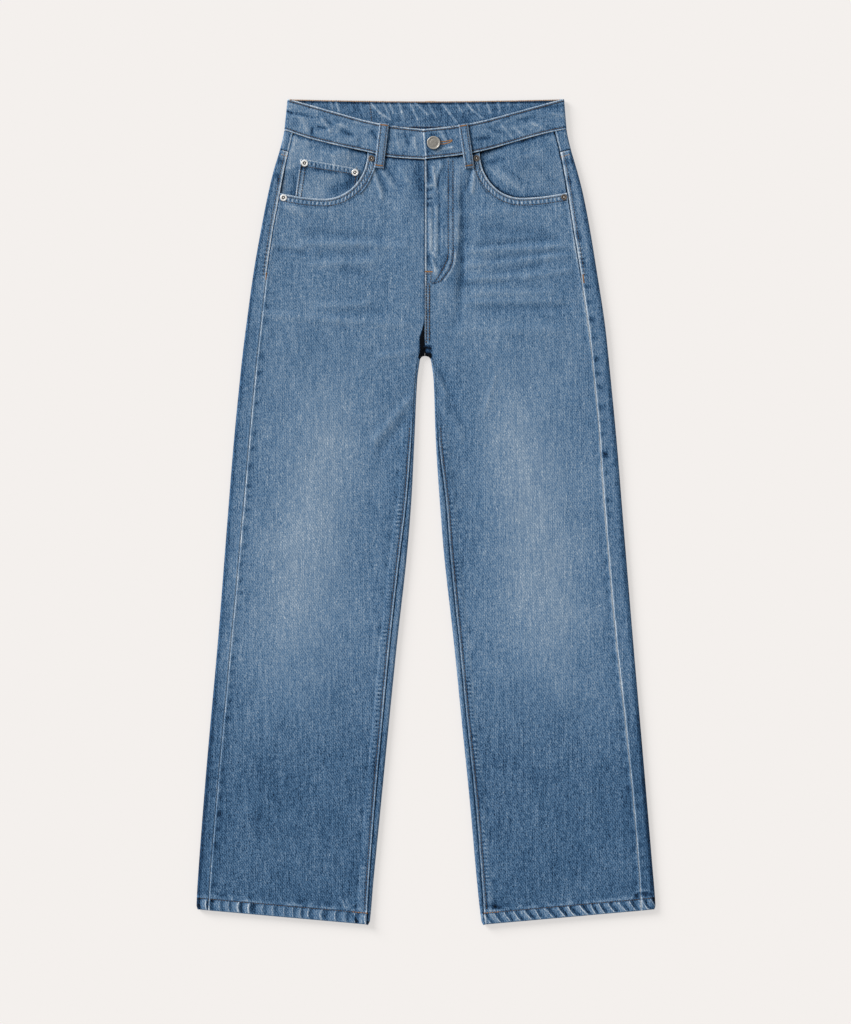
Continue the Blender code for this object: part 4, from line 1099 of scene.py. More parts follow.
for side, word in SIDES:
    end_x = side * (MOUTHS[side].inner - 0.010)
    share_across, share_down = np.meshgrid(np.linspace(0, 1, 56), np.linspace(0, 1, 40))
    down = 0.06 + 0.07 * share_down
    for _ in range(6):  # the outseam's place and the waistband's depend on each other
        seam_x = outseam_x(side, down) - side * SEAM_GAP / 2
        x = seam_x + (end_x - seam_x) * share_across
        top = waist_down(side, x) + SEAM_GAP
        down = top + (FACING_BOTTOM - top) * share_down
    depth = mouth_depth(side, x, down)
    from_outseam = abs(x - seam_x)
    height = facing_height(side, x, down) + 0.00016 * noise(x, down, 0.020, 0.014, 41 + side)
    height += sum(crease.rise * near_line(crease, x, down) for crease in FACING_CREASES)
    height += 0.00020 * hill(0.0014, 0.0010, from_outseam)
    wash = (0.70 if side == RIGHT else 0.53) + 0.11 * noise(x, down, 0.018, 0.014, 42 + side)
    wash += 0.07 * noise(x - down, down + x, 0.0110, 0.0040, 44 + side)
    wash += sum(crease.wash * near_line(crease, x, down) for crease in FACING_CREASES)
    # Painted shadow inside the pocket mouth, under the waistband and beside the outseam.
    wash -= 0.16 * smooth_step(0.80, 1.0, depth) + 0.60 * smooth_step(0.95, 1.0, depth)
    wash -= 0.80 * hill(0, 0.0034, down - top) + 0.85 * hill(0, 0.0011, from_outseam)
    wash += 0.18 * hill(0.0036, 0.0018, from_outseam)
    panel = cloth(f"denim_pocket_facing_{word}", x, down, height, FACING, {"wash": wash})
    declare(panel, f"pocket_facing_{word}", flat=(0.130, 0.098), rests_on=[f"back_{word}"], area=0.0092)


# Coin pocket: a small patch on the wearer's right facing, with a hemmed top edge. Its lower end
# goes under the front panel with the facing.

COIN_TOP = plan_line("-162.8 79.2 -86.8 92.6")
COIN_BOTTOM = plan_line("-170.5 134 -92.5 137.5")
COIN_WIDTH, COIN_DEPTH = 0.077, 0.052
COIN_GAP = 0.0004
# A paler patch of the cloth, and a corner of painted shade.
PALE_PATCH = Fold(-0.150, 0.120, -0.118, 0.108, 0.016, 0)
SHADED_CORNER = Fold(-0.1190, 0.1200, -0.0950, 0.1080, 0.0085, 0)

near_edge = np.array((0, 0.010, 0.020, 0.032, 0.046, 0.062, 0.080))
across = np.concatenate([near_edge, np.linspace(0.1, 0.9, 34), 1 - near_edge[::-1]])
u, v = np.meshgrid(across, np.concatenate([near_edge, np.linspace(0.1, 1, 22)]))
x, down = (
    (COIN_TOP[0, k] * (1 - u) + COIN_TOP[1, k] * u) * (1 - v)
    + (COIN_BOTTOM[0, k] * (1 - u) + COIN_BOTTOM[1, k] * u) * v
    for k in (0, 1)
)
from_top, from_left, from_side = v * COIN_DEPTH, u * COIN_WIDTH, np.minimum(u, 1 - u) * COIN_WIDTH
height = facing_height(RIGHT, x, down) + COIN_GAP + FACING
height += 0.00030 * smooth_step(0.010, 0.008, from_top) + 0.00015 * noise(x, down, 0.016, 0.012, 51)
height += 0.00025 * hill(0.001, 0.001, from_side)
wash = 0.55 + 0.09 * noise(x, down, 0.020, 0.014, 52) + 0.16 * near_line(PALE_PATCH, x, down)
wash += 0.60 * hill(0.0004, 0.0012, from_top) + 0.50 * hill(0.0004, 0.0010, from_side)
below_row = 0.7 + 0.7 * noise(x, down, 0.010, 0.010, 54)
# Painted shade below the stitch row and inside the side edges.
wash -= 0.58 * below_row * hill(0.0106, 0.0026, from_top) + 0.26 * hill(0.0028, 0.0010, from_side)
wash += 0.34 * hill(0.0058, 0.0016, from_left) - 0.28 * hill(0.0076, 0.0010, from_left)
# Painted shade in the lower corner and towards the inner end.
wash -= 0.42 * near_line(SHADED_CORNER, x, down) + 0.10 * smooth_step(0.5, 0.95, u)
paint = {
    "wash": np.minimum(wash, 1.02),
    "pucker": 1.5 * hill(0.0045, 0.0022, from_top),
    "phase": 2 * math.pi * from_left / PUCKER_PITCH + noise(x, down, 0.008, 0.008, 53),
}
coin = cloth("denim_coin_pocket", x, down, height, FACING, paint)
declare(coin, "coin_pocket", flat=(0.079, 0.056), rests_on=["pocket_facing_right"], area=0.0040)


# Back pockets: patch pockets with a pointed foot, pressed flat and topstitched on the seat. The
# jeans lie on them, so they show only from below.

STRAP = 0.0016
BACK_POCKET_WIDTH = 0.138
BACK_POCKET_SIDE = 0.120
BACK_POCKET_POINT = 0.145
BACK_POCKET_TAPER = 0.06
BACK_POCKET_X = 0.098
BACK_POCKET_DOWN = 0.124

half_pocket = BACK_POCKET_WIDTH / 2
edge_steps = lengths("0 1 2 3.5 5 7.5 10") / half_pocket
across = np.concatenate([edge_steps - 1, np.linspace(-0.82, 0.82, 41), 1 - edge_steps[::-1]])
deep = np.concatenate([edge_steps / 2, np.linspace(0.09, 0.91, 34), 1 - edge_steps[::-1] / 2])
u, v = np.meshgrid(across, deep)
back_pockets = {}
for side, word in SIDES:
    x = side * BACK_POCKET_X + u * half_pocket * (1 - BACK_POCKET_TAPER * v)
    depth = BACK_POCKET_SIDE + (BACK_POCKET_POINT - BACK_POCKET_SIDE) * (1 - abs(u))
    down = BACK_POCKET_DOWN + v * depth
    from_top = v * BACK_POCKET_SIDE
    from_edge = np.minimum((1 - abs(u)) * half_pocket, (1 - v) * BACK_POCKET_SIDE)
    height = 0.00018 * (1 + noise(x, down, 0.03, 0.03, 61 + side))
    height += 0.00025 * hill(0.0050, 0.0016, from_edge)
    wash = seat_wash(x, down) + 0.04 + 0.32 * hill(0.0004, 0.0011, np.minimum(from_edge, from_top))
    paint = {
        "wash": wash - 0.12 * hill(0.0050, 0.0018, from_edge),
        "pucker": hill(0.005, 0.0025, from_edge),
        "phase": 2 * math.pi * (x + down) / PUCKER_PITCH,
    }
    pocket = cloth(f"denim_back_pocket_{word}", x, down, height, STRAP, paint, facing=-1)
    declare(pocket, f"back_pocket_{word}", flat=(0.138, 0.145), rests_on=[f"back_{word}"], area=0.0178)
    back_pockets[side] = pocket


# Waistband: one folded strip of denim with a stiff lining, from the underlap round the back to
# the overlap that holds the buttonhole. Its inner side shows behind the front's upper edge.

BAND = 0.0022
BAND_TOP = SEAT_LIFT + 2 * WAIST_FOLD
UNDERLAP_TOP = 0.0066
OVERLAP_TOP = 0.0091
UNDERLAP_END = 0.0400
BACK_TOP_SAG = 0.0025
BUTTON_X = 0.0099
BUTTON_DOWN = 0.0588
# How far to the side the belt loops' painted shadows lie.
LOOP_SHADOW_SHIFT = 0.0074
BAND_ROWS = (0, 0.016, 0.034, 0.054, 0.075, 0.10, 0.14)

# The front's creases at the side folds, loops and button, whose darker troughs are painted shade, and
# the lining's slanting creases.
BAND_CREASES = in_mm(Crease, """
    -180 17.6 -174 20.2 1.5 -0.52 -0.52   -167.7 21 -148 25.4 2.1 -0.52 -0.25
    -172 24.5 -160 27 2 0.52 0.17
    -147.6 40 -148 47 1.9 -0.52 -0.38   -140.4 38.5 -128.7 40 1.7 -0.52 -0.32
    -135 28.6 -125 43 2.3 0.52 0.22
    -130 28.6 -122 35 1.9 -0.52 -0.23   -118 34 -106 38 2.4 0.39 0.16   -109 43 -96 49.5 2.7 -0.52 -0.26
    -70 44 -65 53 2.6 -0.52 -0.29   -88 54.6 -87.5 65 1.5 -0.39 -0.23   -160 30 -155 42 2.2 0.39 0.17
    -40 48 -35 66 2.2 0.39 0.17   -28 46 -23 60 2.4 -0.39 -0.2   -16 52 -12 70 1.8 0.39 0.17
    98.8 36.4 114.4 54.6 1.6 0.52 0.26   114 39 127 49 1.6 0.39 0.23   101 23.4 120 22 1.8 0.52 0.22
    148 13 179 10.4 2.2 -0.52 -0.26   138 34 159 41.6 2 0.39 0.19   153 39 174 41.6 2 -0.39 -0.23
    65 54.6 81 52 2.8 -0.39 -0.22   120 29 140 26 2.2 -0.39 -0.2   84 40 96 46 2.2 -0.39 -0.19
    160 20 178 23 2 0.39 0.19   88 32 98 29 1.8 0.39 0.19   6 48 20 47 1.6 -0.39 -0.26
    18 43 26 56 1.3 0.39 0.26   25 43 30 56 1.4 -0.39 -0.23   16 69 34 64 1.5 0.52 0.26
    3 70 12 76 1.6 -0.39 -0.23
""", unscaled=1)
LINING_CREASES = in_mm(Crease, """
    -124.8 3.9 -121.5 13 1.2 0.4 0.4   -117 5.2 -113.1 16.9 1.2 0.4 0.44   -71.5 7.8 -59.8 20.1 1.2 0.4 0.44
    -59.8 20.1 -45.5 28.6 1.2 0.4 0.44   -55.9 6.5 -46.8 24.7 1.2 0.4 0.35   -47.4 7.8 -42.2 19.5 1.2 0.4 0.44
    -36.4 5.2 -31.2 18.2 1.2 0.4 0.44   -31.2 18.2 -28.6 29.9 1.2 0.4 0.31   -20.8 7.8 -10.4 28.6 1.2 0.4 0.44
    -14.3 6.5 2.6 22.1 1.2 0.4 0.44   2.6 6.5 13 26 1.2 0.4 0.35   22.1 9.1 31.2 20.8 1.2 0.4 0.44
    31.2 20.8 40.3 32.5 1.2 0.4 0.44   39 6.5 46.8 18.2 1.2 0.4 0.35   52 6.5 59.8 15.6 1.2 0.4 0.44
    59.8 15.6 72.8 26 1.2 0.4 0.44   66.3 7.8 70.2 19.5 1.2 0.4 0.31   79.3 6.5 83.8 19.5 1.2 0.4 0.4
    93.6 5.8 96.2 16.9 1.2 0.4 0.35   106.6 5.8 108.5 14.3 1.2 0.4 0.35   120.9 5.8 122.2 11.7 1.2 0.4 0.26
    -98.8 6.5 -96.2 16.9 1.2 0.4 0.22   -85.8 7.8 -80.6 22.1 1.2 0.4 0.26
""", unscaled=1)


def band_height(side, x):
    """The left end of the waistband laps over the right end."""
    if side == LEFT:
        return OVERLAP_TOP - (OVERLAP_TOP - BAND_TOP) * smooth_step(0.045, 0.125, x)
    return BAND_TOP - (BAND_TOP - UNDERLAP_TOP) * (1 - smooth_step(0.005, 0.050, -x))


def band_run(side):
    """Where the band's upper edge, then its lower edge, starts at the front and ends at the side."""
    starts = (OVERLAP_END_TOP, OVERLAP_END_BOTTOM) if side == LEFT else (CENTRE, CENTRE)
    downs = (WAIST[-1].top, getattr(WAIST[-1], WORD[side]))
    ends = [edge_x(OUTER, side, down) - side * WAIST_FOLD for down in downs]
    return list(zip(starts, ends))


def band_front(side, share):
    """The upper and lower edge at a share of the way from the centre to the side fold."""
    places = []
    for (start, end), column in zip(band_run(side), ("top", WORD[side])):
        x = start + (end - start) * share
        places.append((x, from_table(WAIST, column, share), band_height(side, x)))
    return places


def band_back(share):
    """The upper and lower edge behind, from the right fold (0) to the left fold (1)."""
    places = []
    sags = (BACK_TOP_SAG, 0)
    ends = ((WAIST[-1].top, WAIST[-1].top), (WAIST[-1].right, WAIST[-1].left))
    for (_, right_x), (_, left_x), downs, sag in zip(band_run(RIGHT), band_run(LEFT), ends, sags):
        down = downs[0] + (downs[1] - downs[0]) * share + sag * math.sin(math.pi * share)
        places.append((right_x + (left_x - right_x) * share, down, SEAT_LIFT))
    return places


def band_fold(side, share):
    """The upper and lower edge on the side fold, from underneath (0) to the top (1)."""
    places = []
    for down in (WAIST[-1].top, getattr(WAIST[-1], WORD[side])):
        turn = math.pi * share
        x = edge_x(OUTER, side, down) - side * WAIST_FOLD * (1 - math.sin(turn))
        places.append((x, down, SEAT_LIFT + WAIST_FOLD * (1 - math.cos(turn))))
    return places


path = []
for x in np.linspace(UNDERLAP_END, 0.002, 14):
    share = x / band_run(LEFT)[0][1]
    path.append([(x, from_table(WAIST, column, share), UNDERLAP_TOP) for column in ("top", "left")])
path += [band_front(RIGHT, share) for share in np.linspace(0, 1, 150)]
path += [band_fold(RIGHT, share) for share in np.linspace(1, 0, 12)[1:-1]]
back_from = len(path)
path += [band_back(share) for share in np.linspace(0, 1, 270)]
back_to = len(path)
path += [band_fold(LEFT, share) for share in np.linspace(0, 1, 12)[1:-1]]
path += [band_front(LEFT, share) for share in np.linspace(1, 0, 150)]
path = np.array(path, float)
shares = np.concatenate([BAND_ROWS, np.linspace(0.18, 0.82, 17), 1 - np.array(BAND_ROWS)[::-1]])
grid = path[None, :, 0, :] * (1 - shares)[:, None, None] + path[None, :, 1, :] * shares[:, None, None]
x, down, height = grid[:, :, 0], grid[:, :, 1], grid[:, :, 2].copy()
column = np.arange(x.shape[1])[None, :]
behind = (column >= back_from) & (column < back_to)
width = np.hypot(path[:, 0, 0] - path[:, 1, 0], path[:, 0, 1] - path[:, 1, 1])[None, :]
from_upper, from_lower = shares[:, None] * width, (1 - shares)[:, None] * width
from_edge = np.minimum(from_upper, from_lower)
crease_rise, crease_wash_and_shade, lining_rise, lining_wash = (
    sum(getattr(crease, what) * near_line(crease, x, down) for crease in creases)
    for creases in (BAND_CREASES, LINING_CREASES)
    for what in ("rise", "wash")
)
inside = smooth_step(0.0030, 0.0050, from_edge)
ridge = 0.00022 * hill(0.0012, 0.0010, from_edge) - 0.00022 * hill(0.0029, 0.0008, from_edge)
soft = 0.00018 * noise(x, down, 0.022, 0.016, 71)
in_front = (ridge + crease_rise * inside + soft) * (height > BAND_TOP - 0.001)
height += np.where(behind, lining_rise - soft, in_front)
mottle = 0.08 * noise(x, down, 0.020, 0.014, 72)
mottle += 0.14 * noise(x - 0.9 * down, down + 0.35 * x, 0.0130, 0.0040, 73)
in_front = 1.75 * crease_wash_and_shade * inside - 0.035 * np.sign(x)
wash = 0.55 + mottle + np.where(behind, 1.25 * lining_wash - 0.24, in_front)
# Painted shadows of the front belt loops on the band.
for loop in FRONT_LOOPS:
    edge = (
        (loop.top_x + LOOP_SHADOW_SHIFT, loop.top_down),
        (loop.bottom_x + LOOP_SHADOW_SHIFT, loop.bottom_down),
    )
    wash -= np.where(behind, 0, 0.55 * near_path(edge, 0.0017, x, down))
# Pale worn edges, and a line of painted shade along each stitch row.
wash += 0.60 * hill(0.0006, 0.0011, from_edge) - 0.52 * hill(0.0029, 0.0012, from_edge)
wash += 0.10 * hill(0.0050, 0.0012, from_edge)
from_end = abs(x - x[:, -1:])
on_overlap = column > back_to + 12
from_button = np.hypot(x - BUTTON_X, down - BUTTON_DOWN)
# Painted shadow round the button, and at the overlap's end a pale edge with painted shade beside it.
wash -= 0.45 * smooth_step(0.0112, 0.0088, from_button) * on_overlap
wash += (0.62 * hill(0.0006, 0.0012, from_end) - 0.24 * hill(0.0036, 0.0010, from_end)) * on_overlap
band = cloth("denim_waistband", x, down, height, BAND, {"wash": wash})
declare(band, "waistband", flat=(0.770, 0.040), held="folded", rests_on=["yoke_left", "yoke_right"])


# Belt loops: folded straps of denim, two in front and three behind, with their raw edges turned
# in and their ends tacked down over the waistband's edges.

BACK_LOOPS = (
    Loop("belt_loop_back_left", 0.1180, 0.0050, 0.1180, 0.0600),
    Loop("belt_loop_back_centre", 0.0050, 0.0055, 0.0050, 0.0610),
    Loop("belt_loop_back_right", -0.1180, 0.0050, -0.1180, 0.0600),
)
LOOP_WIDTH = 0.0120
LOOP_BOW = 0.0006


def loop_grid(loop):
    """Points over a loop in plan, as shares of its length and distances from its middle line."""
    share, across = np.meshgrid(np.linspace(0, 1, 48), np.linspace(-1, 1, 17), indexing="ij")
    across = np.sign(across) * (1 - (1 - abs(across)) ** 1.4)
    run = np.array((loop.bottom_x - loop.top_x, loop.bottom_down - loop.top_down))
    along = run / np.hypot(*run)
    offset = across * LOOP_WIDTH / 2
    x = loop.top_x + run[0] * share + along[1] * offset
    down = loop.top_down + run[1] * share - along[0] * offset
    return share, across, x, down


loops = []
for loop in FRONT_LOOPS + BACK_LOOPS:
    share, across, x, down = loop_grid(loop)
    rounded = 0.00045 * smooth_step(0.80, 1.0, abs(across)) + 0.00022 * hill(0.55, 0.10, abs(across))
    length = np.hypot(loop.bottom_x - loop.top_x, loop.bottom_down - loop.top_down)
    from_end = np.minimum(share, 1 - share) * length
    if loop in FRONT_LOOPS:
        side = LEFT if loop.top_x > 0 else RIGHT
        middle_x = loop.top_x + (loop.bottom_x - loop.top_x) * share
        middle_down = loop.top_down + (loop.bottom_down - loop.top_down) * share
        over_band, panel_top = band_height(side, middle_x), top_height(middle_x, middle_down)
        under = over_band + (panel_top - over_band) * smooth_step(0.083, 0.0916, middle_down)
        under = np.where(middle_down < 0.086, np.maximum(over_band, panel_top), under)
        height = np.maximum(under, panel_top) + SEAM_GAP + STRAP
        height += LOOP_BOW * np.sin(math.pi * share) - rounded
        height += 0.00015 * noise(x, down, 0.006, 0.010, 81)
        facing = 1
    else:
        height = rounded + 0.0001
        facing = -1
    wash = 0.59 + 0.06 * noise(x, down, 0.006, 0.012, 82) + 0.46 * hill(1, 0.12, abs(across))
    # Pale worn ends, and painted shade along the stitch rows.
    wash += 0.25 * hill(0, 0.0010, from_end) - 0.26 * hill(0.62, 0.13, abs(across))
    strap = cloth("denim_" + loop.name, x, down, height, STRAP - 0.0002, {"wash": wash}, facing=facing)
    declare(strap, loop.name, flat=(LOOP_WIDTH, length), rests_on=["waistband"])
    loops.append(strap)


# Stitching: rows of brown or tan cotton thread along the seams and hems, a little sunk in the
# cloth. Each stitch is one short rounded strand, about 3 mm long, copied along the rows.

STITCH_LENGTH = 0.0027
STITCH_PITCH = 0.0034
THREAD_RADIUS = 0.00052

bpy.ops.mesh.primitive_uv_sphere_add(segments=6, ring_count=4, radius=1)
strand = bpy.context.object
bpy.ops.object.mode_set(mode="EDIT")
bpy.ops.mesh.select_all(action="SELECT")
bpy.ops.transform.rotate(value=math.pi / 2, orient_axis="Y")
bpy.ops.object.mode_set(mode="OBJECT")
STRAND_POINTS = np.array([v.co[:] for v in strand.data.vertices])
STRAND_FACES = [tuple(p.vertices) for p in strand.data.polygons]
bpy.data.objects.remove(strand)


def spotted(name, low, high, scale, detail, roughness):
    """A material whose colour varies in small spots, with its node tree, shader and spots."""
    material, tree, shader = new_material(name)
    place = add(tree, "ShaderNodeTexCoord").outputs["Object"]
    spots = add(tree, "ShaderNodeTexNoise", {"Vector": place, "Scale": scale, "Detail": detail})
    colours = {"Factor": spots.outputs["Fac"], 6: linear(low), 7: linear(high)}
    mix = add(tree, "ShaderNodeMix", colours, data_type="RGBA")
    tree.links.new(mix.outputs[2], shader.inputs["Base Color"])
    shader.inputs["Roughness"].default_value = roughness
    return material, tree, shader, spots.outputs["Fac"]


def thread(name, low, high, scale):
    """A matt thread whose colour has faded unevenly."""
    material, _, shader, _ = spotted(name, low, high, scale, 2, 0.8)
    shader.inputs["Specular IOR Level"].default_value = 0.2
    return material


brown_thread = thread("brown cotton thread", "393331", "6C6057", 160)
tan_thread = thread("tan cotton thread", "8A7462", "C8AA90", 220)


def surface_of(pieces):
    """A tree of all faces of some pieces, for finding where thread lies on them."""
    points, faces = [], []
    for piece in pieces:
        first = len(points)
        points += [v.co.copy() for v in piece.data.vertices]
        faces += [[first + k for k in p.vertices] for p in piece.data.polygons]
    return BVHTree.FromPolygons(points, faces)


def sew(name, rows, pieces, material, length=STITCH_LENGTH, pitch=STITCH_PITCH,
        radius=THREAD_RADIUS, crosswise=False, from_above=True, seed=1):
    """Strands along rows in plan, laid on the pieces and joined into one mesh."""
    surface = surface_of(pieces)
    chance = np.random.default_rng(seed)
    points, faces = [], []
    sign = 1 if from_above else -1
    for row in rows:
        spots = resampled(row, pitch)
        for (x, down), (run_x, run_down) in zip(spots, np.gradient(spots, axis=0)):
            start = Vector((x, TOP_Y - down, 0.05 * sign))
            hit, normal, _, _ = surface.ray_cast(start, Vector((0, 0, -sign)))
            if hit is None:
                continue
            turn = math.atan2(-run_down, run_x) + chance.normal(0, 0.06)
            turn += math.pi / 2 if crosswise else 0
            run = Vector((math.cos(turn), math.sin(turn), 0))
            run = (run - normal * run.dot(normal)).normalized()
            long, thick = length / 2 * chance.uniform(0.88, 1.08), radius * chance.uniform(0.9, 1.1)
            axes = np.array([run * long, normal.cross(run) * thick, normal * thick * 0.8])
            first = len(points) * len(STRAND_POINTS)
            points.append(STRAND_POINTS @ axes + np.array(hit + normal * radius * 0.25))
            faces += [[first + k for k in face] for face in STRAND_FACES]
    mesh = bpy.data.meshes.new(name)
    mesh.from_pydata(np.concatenate(points).tolist(), [], faces)
    mesh.shade_smooth()
    mesh.materials.append(material)
    made = bpy.data.objects.new(name, mesh)
    bpy.context.scene.collection.objects.link(made)
    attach(made, "root")


def loop_ends(loop):
    """A belt loop's upper and lower end in plan."""
    return np.array(((loop.top_x, loop.top_down), (loop.bottom_x, loop.bottom_down)))


def beside(points, offset):
    """A line moved sideways in plan."""
    run = np.gradient(points, axis=0)
    run /= np.hypot(*run.T)[:, None]
    return points + np.stack([-run[:, 1], run[:, 0]], axis=1) * offset


def inseam_line(side, inside, start, end):
    """A line along the inseam, so far inside it."""
    downs = np.arange(start, end, 0.004)
    x = edge_x(INNER, side, downs) + side * (seam_inside(INNER, side, downs) + inside)
    return np.stack([x, downs], axis=1)


def outseam_line(side, outside, start, end):
    """A line along the outseam, so far outside it."""
    downs = np.arange(start, end, 0.004)
    return np.stack([outseam_x(side, downs) + side * outside, downs], axis=1)


def hem_line(side, up):
    """A row of stitches above the front's hem, from the leg's outer to its inner edge."""
    last = lines(side)[-1]
    outer = (edge_x(OUTER, side, last.outer) - side * 0.004, last.outer)
    inner = (edge_x(INNER, side, last.front[1]) + side * 0.004, last.front[1] + 0.0005)
    return np.array([outer, strip_start(side, last), last.front, inner]) - (0, up)


front_rows = [mouth_line(side, offset) for side in (LEFT, RIGHT) for offset in MOUTH_STITCHES]
front_rows += J_ROWS
for side, _ in SIDES:
    front_rows += [inseam_line(side, INSEAM_STITCHES, 0.430, 1.055)]
    front_rows += [outseam_line(side, OUTSEAM_STITCHES, 0.072, 0.236)]
    front_rows += [hem_line(side, HEM_STITCHES)]
tops = [panels[side] for panels in (fronts, backs, yokes) for side in (LEFT, RIGHT)]
sew("thread_front", front_rows, tops, brown_thread)
yoke_rows = []
for side, _ in SIDES:
    outer = (edge_x(OUTER, side, YOKE_SEAM.outer) - side * 0.0030, YOKE_SEAM.outer)
    yoke_rows.append(np.array((outer, strip_start(side, lines(side)[0]))) + (0, 0.0060))
sew("thread_yoke", yoke_rows, tops, tan_thread, seed=18)
sew("thread_centre", CENTRE_ROWS, tops, brown_thread, 0.0030, 0.0036, 0.00085, seed=17)

band_rows = []
for side, _ in SIDES:
    edges = np.array([band_front(side, share) for share in np.linspace(0.004, 1, 60)])[:, :, :2]
    for near, inset in ((0, 0.0028), (1, 0.0030)):
        inward = edges[:, 1 - near] - edges[:, near]
        band_rows.append(edges[:, near] + inward / np.hypot(*inward.T)[:, None] * inset)
sew("thread_band", band_rows, [band], brown_thread, 0.0033, 0.0033, 0.00058, seed=2)
edges = np.array([band_back(share) for share in np.linspace(0.385, 0.605, 30)])[:, :, :2]
lining_row = edges[:, 1] + (edges[:, 0] - edges[:, 1]) * 0.11
sew("thread_lining", [lining_row, plan_line("-73.3 5 -70.3 32")], [band], brown_thread, seed=3)
top_row = np.array([band_back(share)[0][:2] for share in np.linspace(0.005, 0.995, 60)]) + (0, 0.0009)
sew("thread_top_edge", [top_row], [band], tan_thread, 0.0036, 0.0029, 0.0009, seed=15)

loop_rows = []
for loop in FRONT_LOOPS + BACK_LOOPS:
    start, end = loop_ends(loop)
    ends = start + (end - start) * np.array((0.05, 0.95))[:, None]
    loop_rows += [beside(ends, offset) for offset in (-0.0036, 0.0036)]
sew("thread_loops_front", loop_rows[:4], loops[:2], brown_thread, seed=4)
sew("thread_loops_back", loop_rows[4:], loops[2:], brown_thread, from_above=False, seed=5)

coin_rows = [COIN_TOP + (COIN_BOTTOM - COIN_TOP) * 0.0086 / COIN_DEPTH]
for share in (0.025, 0.095, 0.96):
    coin_rows.append(np.array([edge[0] + (edge[1] - edge[0]) * share for edge in (COIN_TOP, COIN_BOTTOM)]))
sew("thread_coin", coin_rows, [coin], brown_thread, seed=6)

under_rows = []
for side, _ in SIDES:
    corner = (side * BACK_POCKET_X, BACK_POCKET_DOWN)
    for inset in (0.0020, 0.0080):
        wide, tall, point = half_pocket - inset, BACK_POCKET_SIDE - inset, BACK_POCKET_POINT - inset * 1.05
        low = wide - half_pocket * BACK_POCKET_TAPER
        shape = [(-wide, 0.0015), (-low, tall), (0, point), (low, tall), (wide, 0.0015)]
        under_rows.append(np.array(shape) + corner)
    wide = half_pocket - 0.002
    under_rows.append(np.array([(-wide, 0.014), (wide, 0.014)]) + corner)
sew("thread_back_pockets", under_rows, list(back_pockets.values()), brown_thread, from_above=False, seed=7)

seat_rows = []
for side, _ in SIDES:
    for above in (0.0018, 0.0078):
        start = (edge_x(OUTER, side, YOKE_SEAM.outer) - side * 0.004, YOKE_SEAM.outer - above)
        seat_rows.append(np.array([start, (CENTRE + side * 0.002, YOKE_SEAM.back - above)]))
    seat_rows.append(np.array([(CENTRE + side * 0.0030, 0.112), (CENTRE + side * 0.0030, 0.318)]))
    last = lines(side)[-1]
    hem = [(edge_x(OUTER, side, last.outer) - side * 0.006, last.outer), tuple(last.back[0][:2])]
    seat_rows.append(np.array(hem) - (0, HEM_STITCHES))
unders = list(yokes.values()) + list(backs.values())
sew("thread_seat", seat_rows, unders, brown_thread, from_above=False, seed=8)


# Bartacks: short dense bars of rust-coloured thread that lock the ends of the seams, the loops
# and the fly. Each is a row of strands laid side by side.

rust_thread = thread("rust cotton thread", "855C38", "B98C5A", 500)
# The strands of a bar lie across its run, close together.
BAR = {"pitch": 0.00062, "radius": 0.00032, "crosswise": True}
SIDE_TACKS = [plan_line("-207.2 227.5 -208 239.5"), plan_line("203.8 230 205.2 240.5")]
FLY_TACK = plan_line("-1 226 8.5 226.2")
FLY_BOX = ("0 229 0 242", "6.2 229 6.2 242", "0 229 6.2 229", "0 242 6.2 242")

tack_rows = []
for loop in FRONT_LOOPS:
    start, end = loop_ends(loop)
    length = np.hypot(*(end - start))
    run = (end - start) / length
    across = np.array((run[1], -run[0])) * LOOP_WIDTH * 0.40
    for along in (0.0022, length - 0.0034):
        middle = start + run * along
        tack_rows.append(np.array([middle - across, middle + across]))
sew("tacks_loops", tack_rows, loops[:2], rust_thread, 0.0020, seed=9, **BAR)
sew("tacks_sides", SIDE_TACKS + [FLY_TACK], tops, rust_thread, 0.0023, seed=10, **BAR)
sew("thread_box", [plan_line(row) for row in FLY_BOX], tops, brown_thread, seed=16)
hem_ends = [resampled(hem_line(side, HEM_STITCHES)[[2, 1]], 0.0005)[:36] for side, _ in SIDES]
sew("thread_rust", hem_ends, tops, rust_thread, radius=0.0007, seed=11)
sew("tack_back", [plan_line("-0.5 5 13 5")], [band], rust_thread, 0.0020, seed=12, **BAR)
behind_tacks = []
for loop in BACK_LOOPS:
    for down in (loop.top_down + 0.003, loop.bottom_down - 0.003):
        behind_tacks.append(np.array([(loop.top_x - 0.0048, down), (loop.top_x + 0.0048, down)]))
down = BACK_POCKET_DOWN + 0.002
for side, _ in SIDES:
    for edge in (LEFT, RIGHT):
        x = side * BACK_POCKET_X + edge * (half_pocket - 0.005)
        behind_tacks.append(np.array([(x - 0.003, down), (x + 0.003, down)]))
unders = loops[2:] + list(back_pockets.values())
sew("tacks_back", behind_tacks, unders, rust_thread, 0.0020, from_above=False, seed=13, **BAR)


# Buttonhole: the rust thread that binds a keyhole in the overlap behind the button; the hole itself is not
# cut.

EYELET_RADIUS = 0.0032
HOLE_LENGTH = 0.0240
turns = np.linspace(math.radians(25), math.radians(335), 24)
hole = [(BUTTON_X + EYELET_RADIUS * math.cos(t), BUTTON_DOWN - EYELET_RADIUS * math.sin(t)) for t in turns]
slit_end = (BUTTON_X + HOLE_LENGTH, BUTTON_DOWN - 0.0030)
upper = [(slit_end[0], slit_end[1] - 0.0006), (BUTTON_X + 0.014, BUTTON_DOWN - 0.0016)]
lower = [(BUTTON_X + 0.014, BUTTON_DOWN + 0.0016), (BUTTON_X + 0.020, BUTTON_DOWN - 0.0002)]
lower.append((slit_end[0], slit_end[1] + 0.0006))
binding = np.array(upper + hole + lower)
sew("buttonhole", [binding], [band], rust_thread, 0.0017, 0.00055, 0.00034, True, seed=14)


# Fly button: a tack button stamped from brass and plated dull pewter, with a raised rim round a
# plain stippled face. Its shank goes through the buttonhole into the underlap.

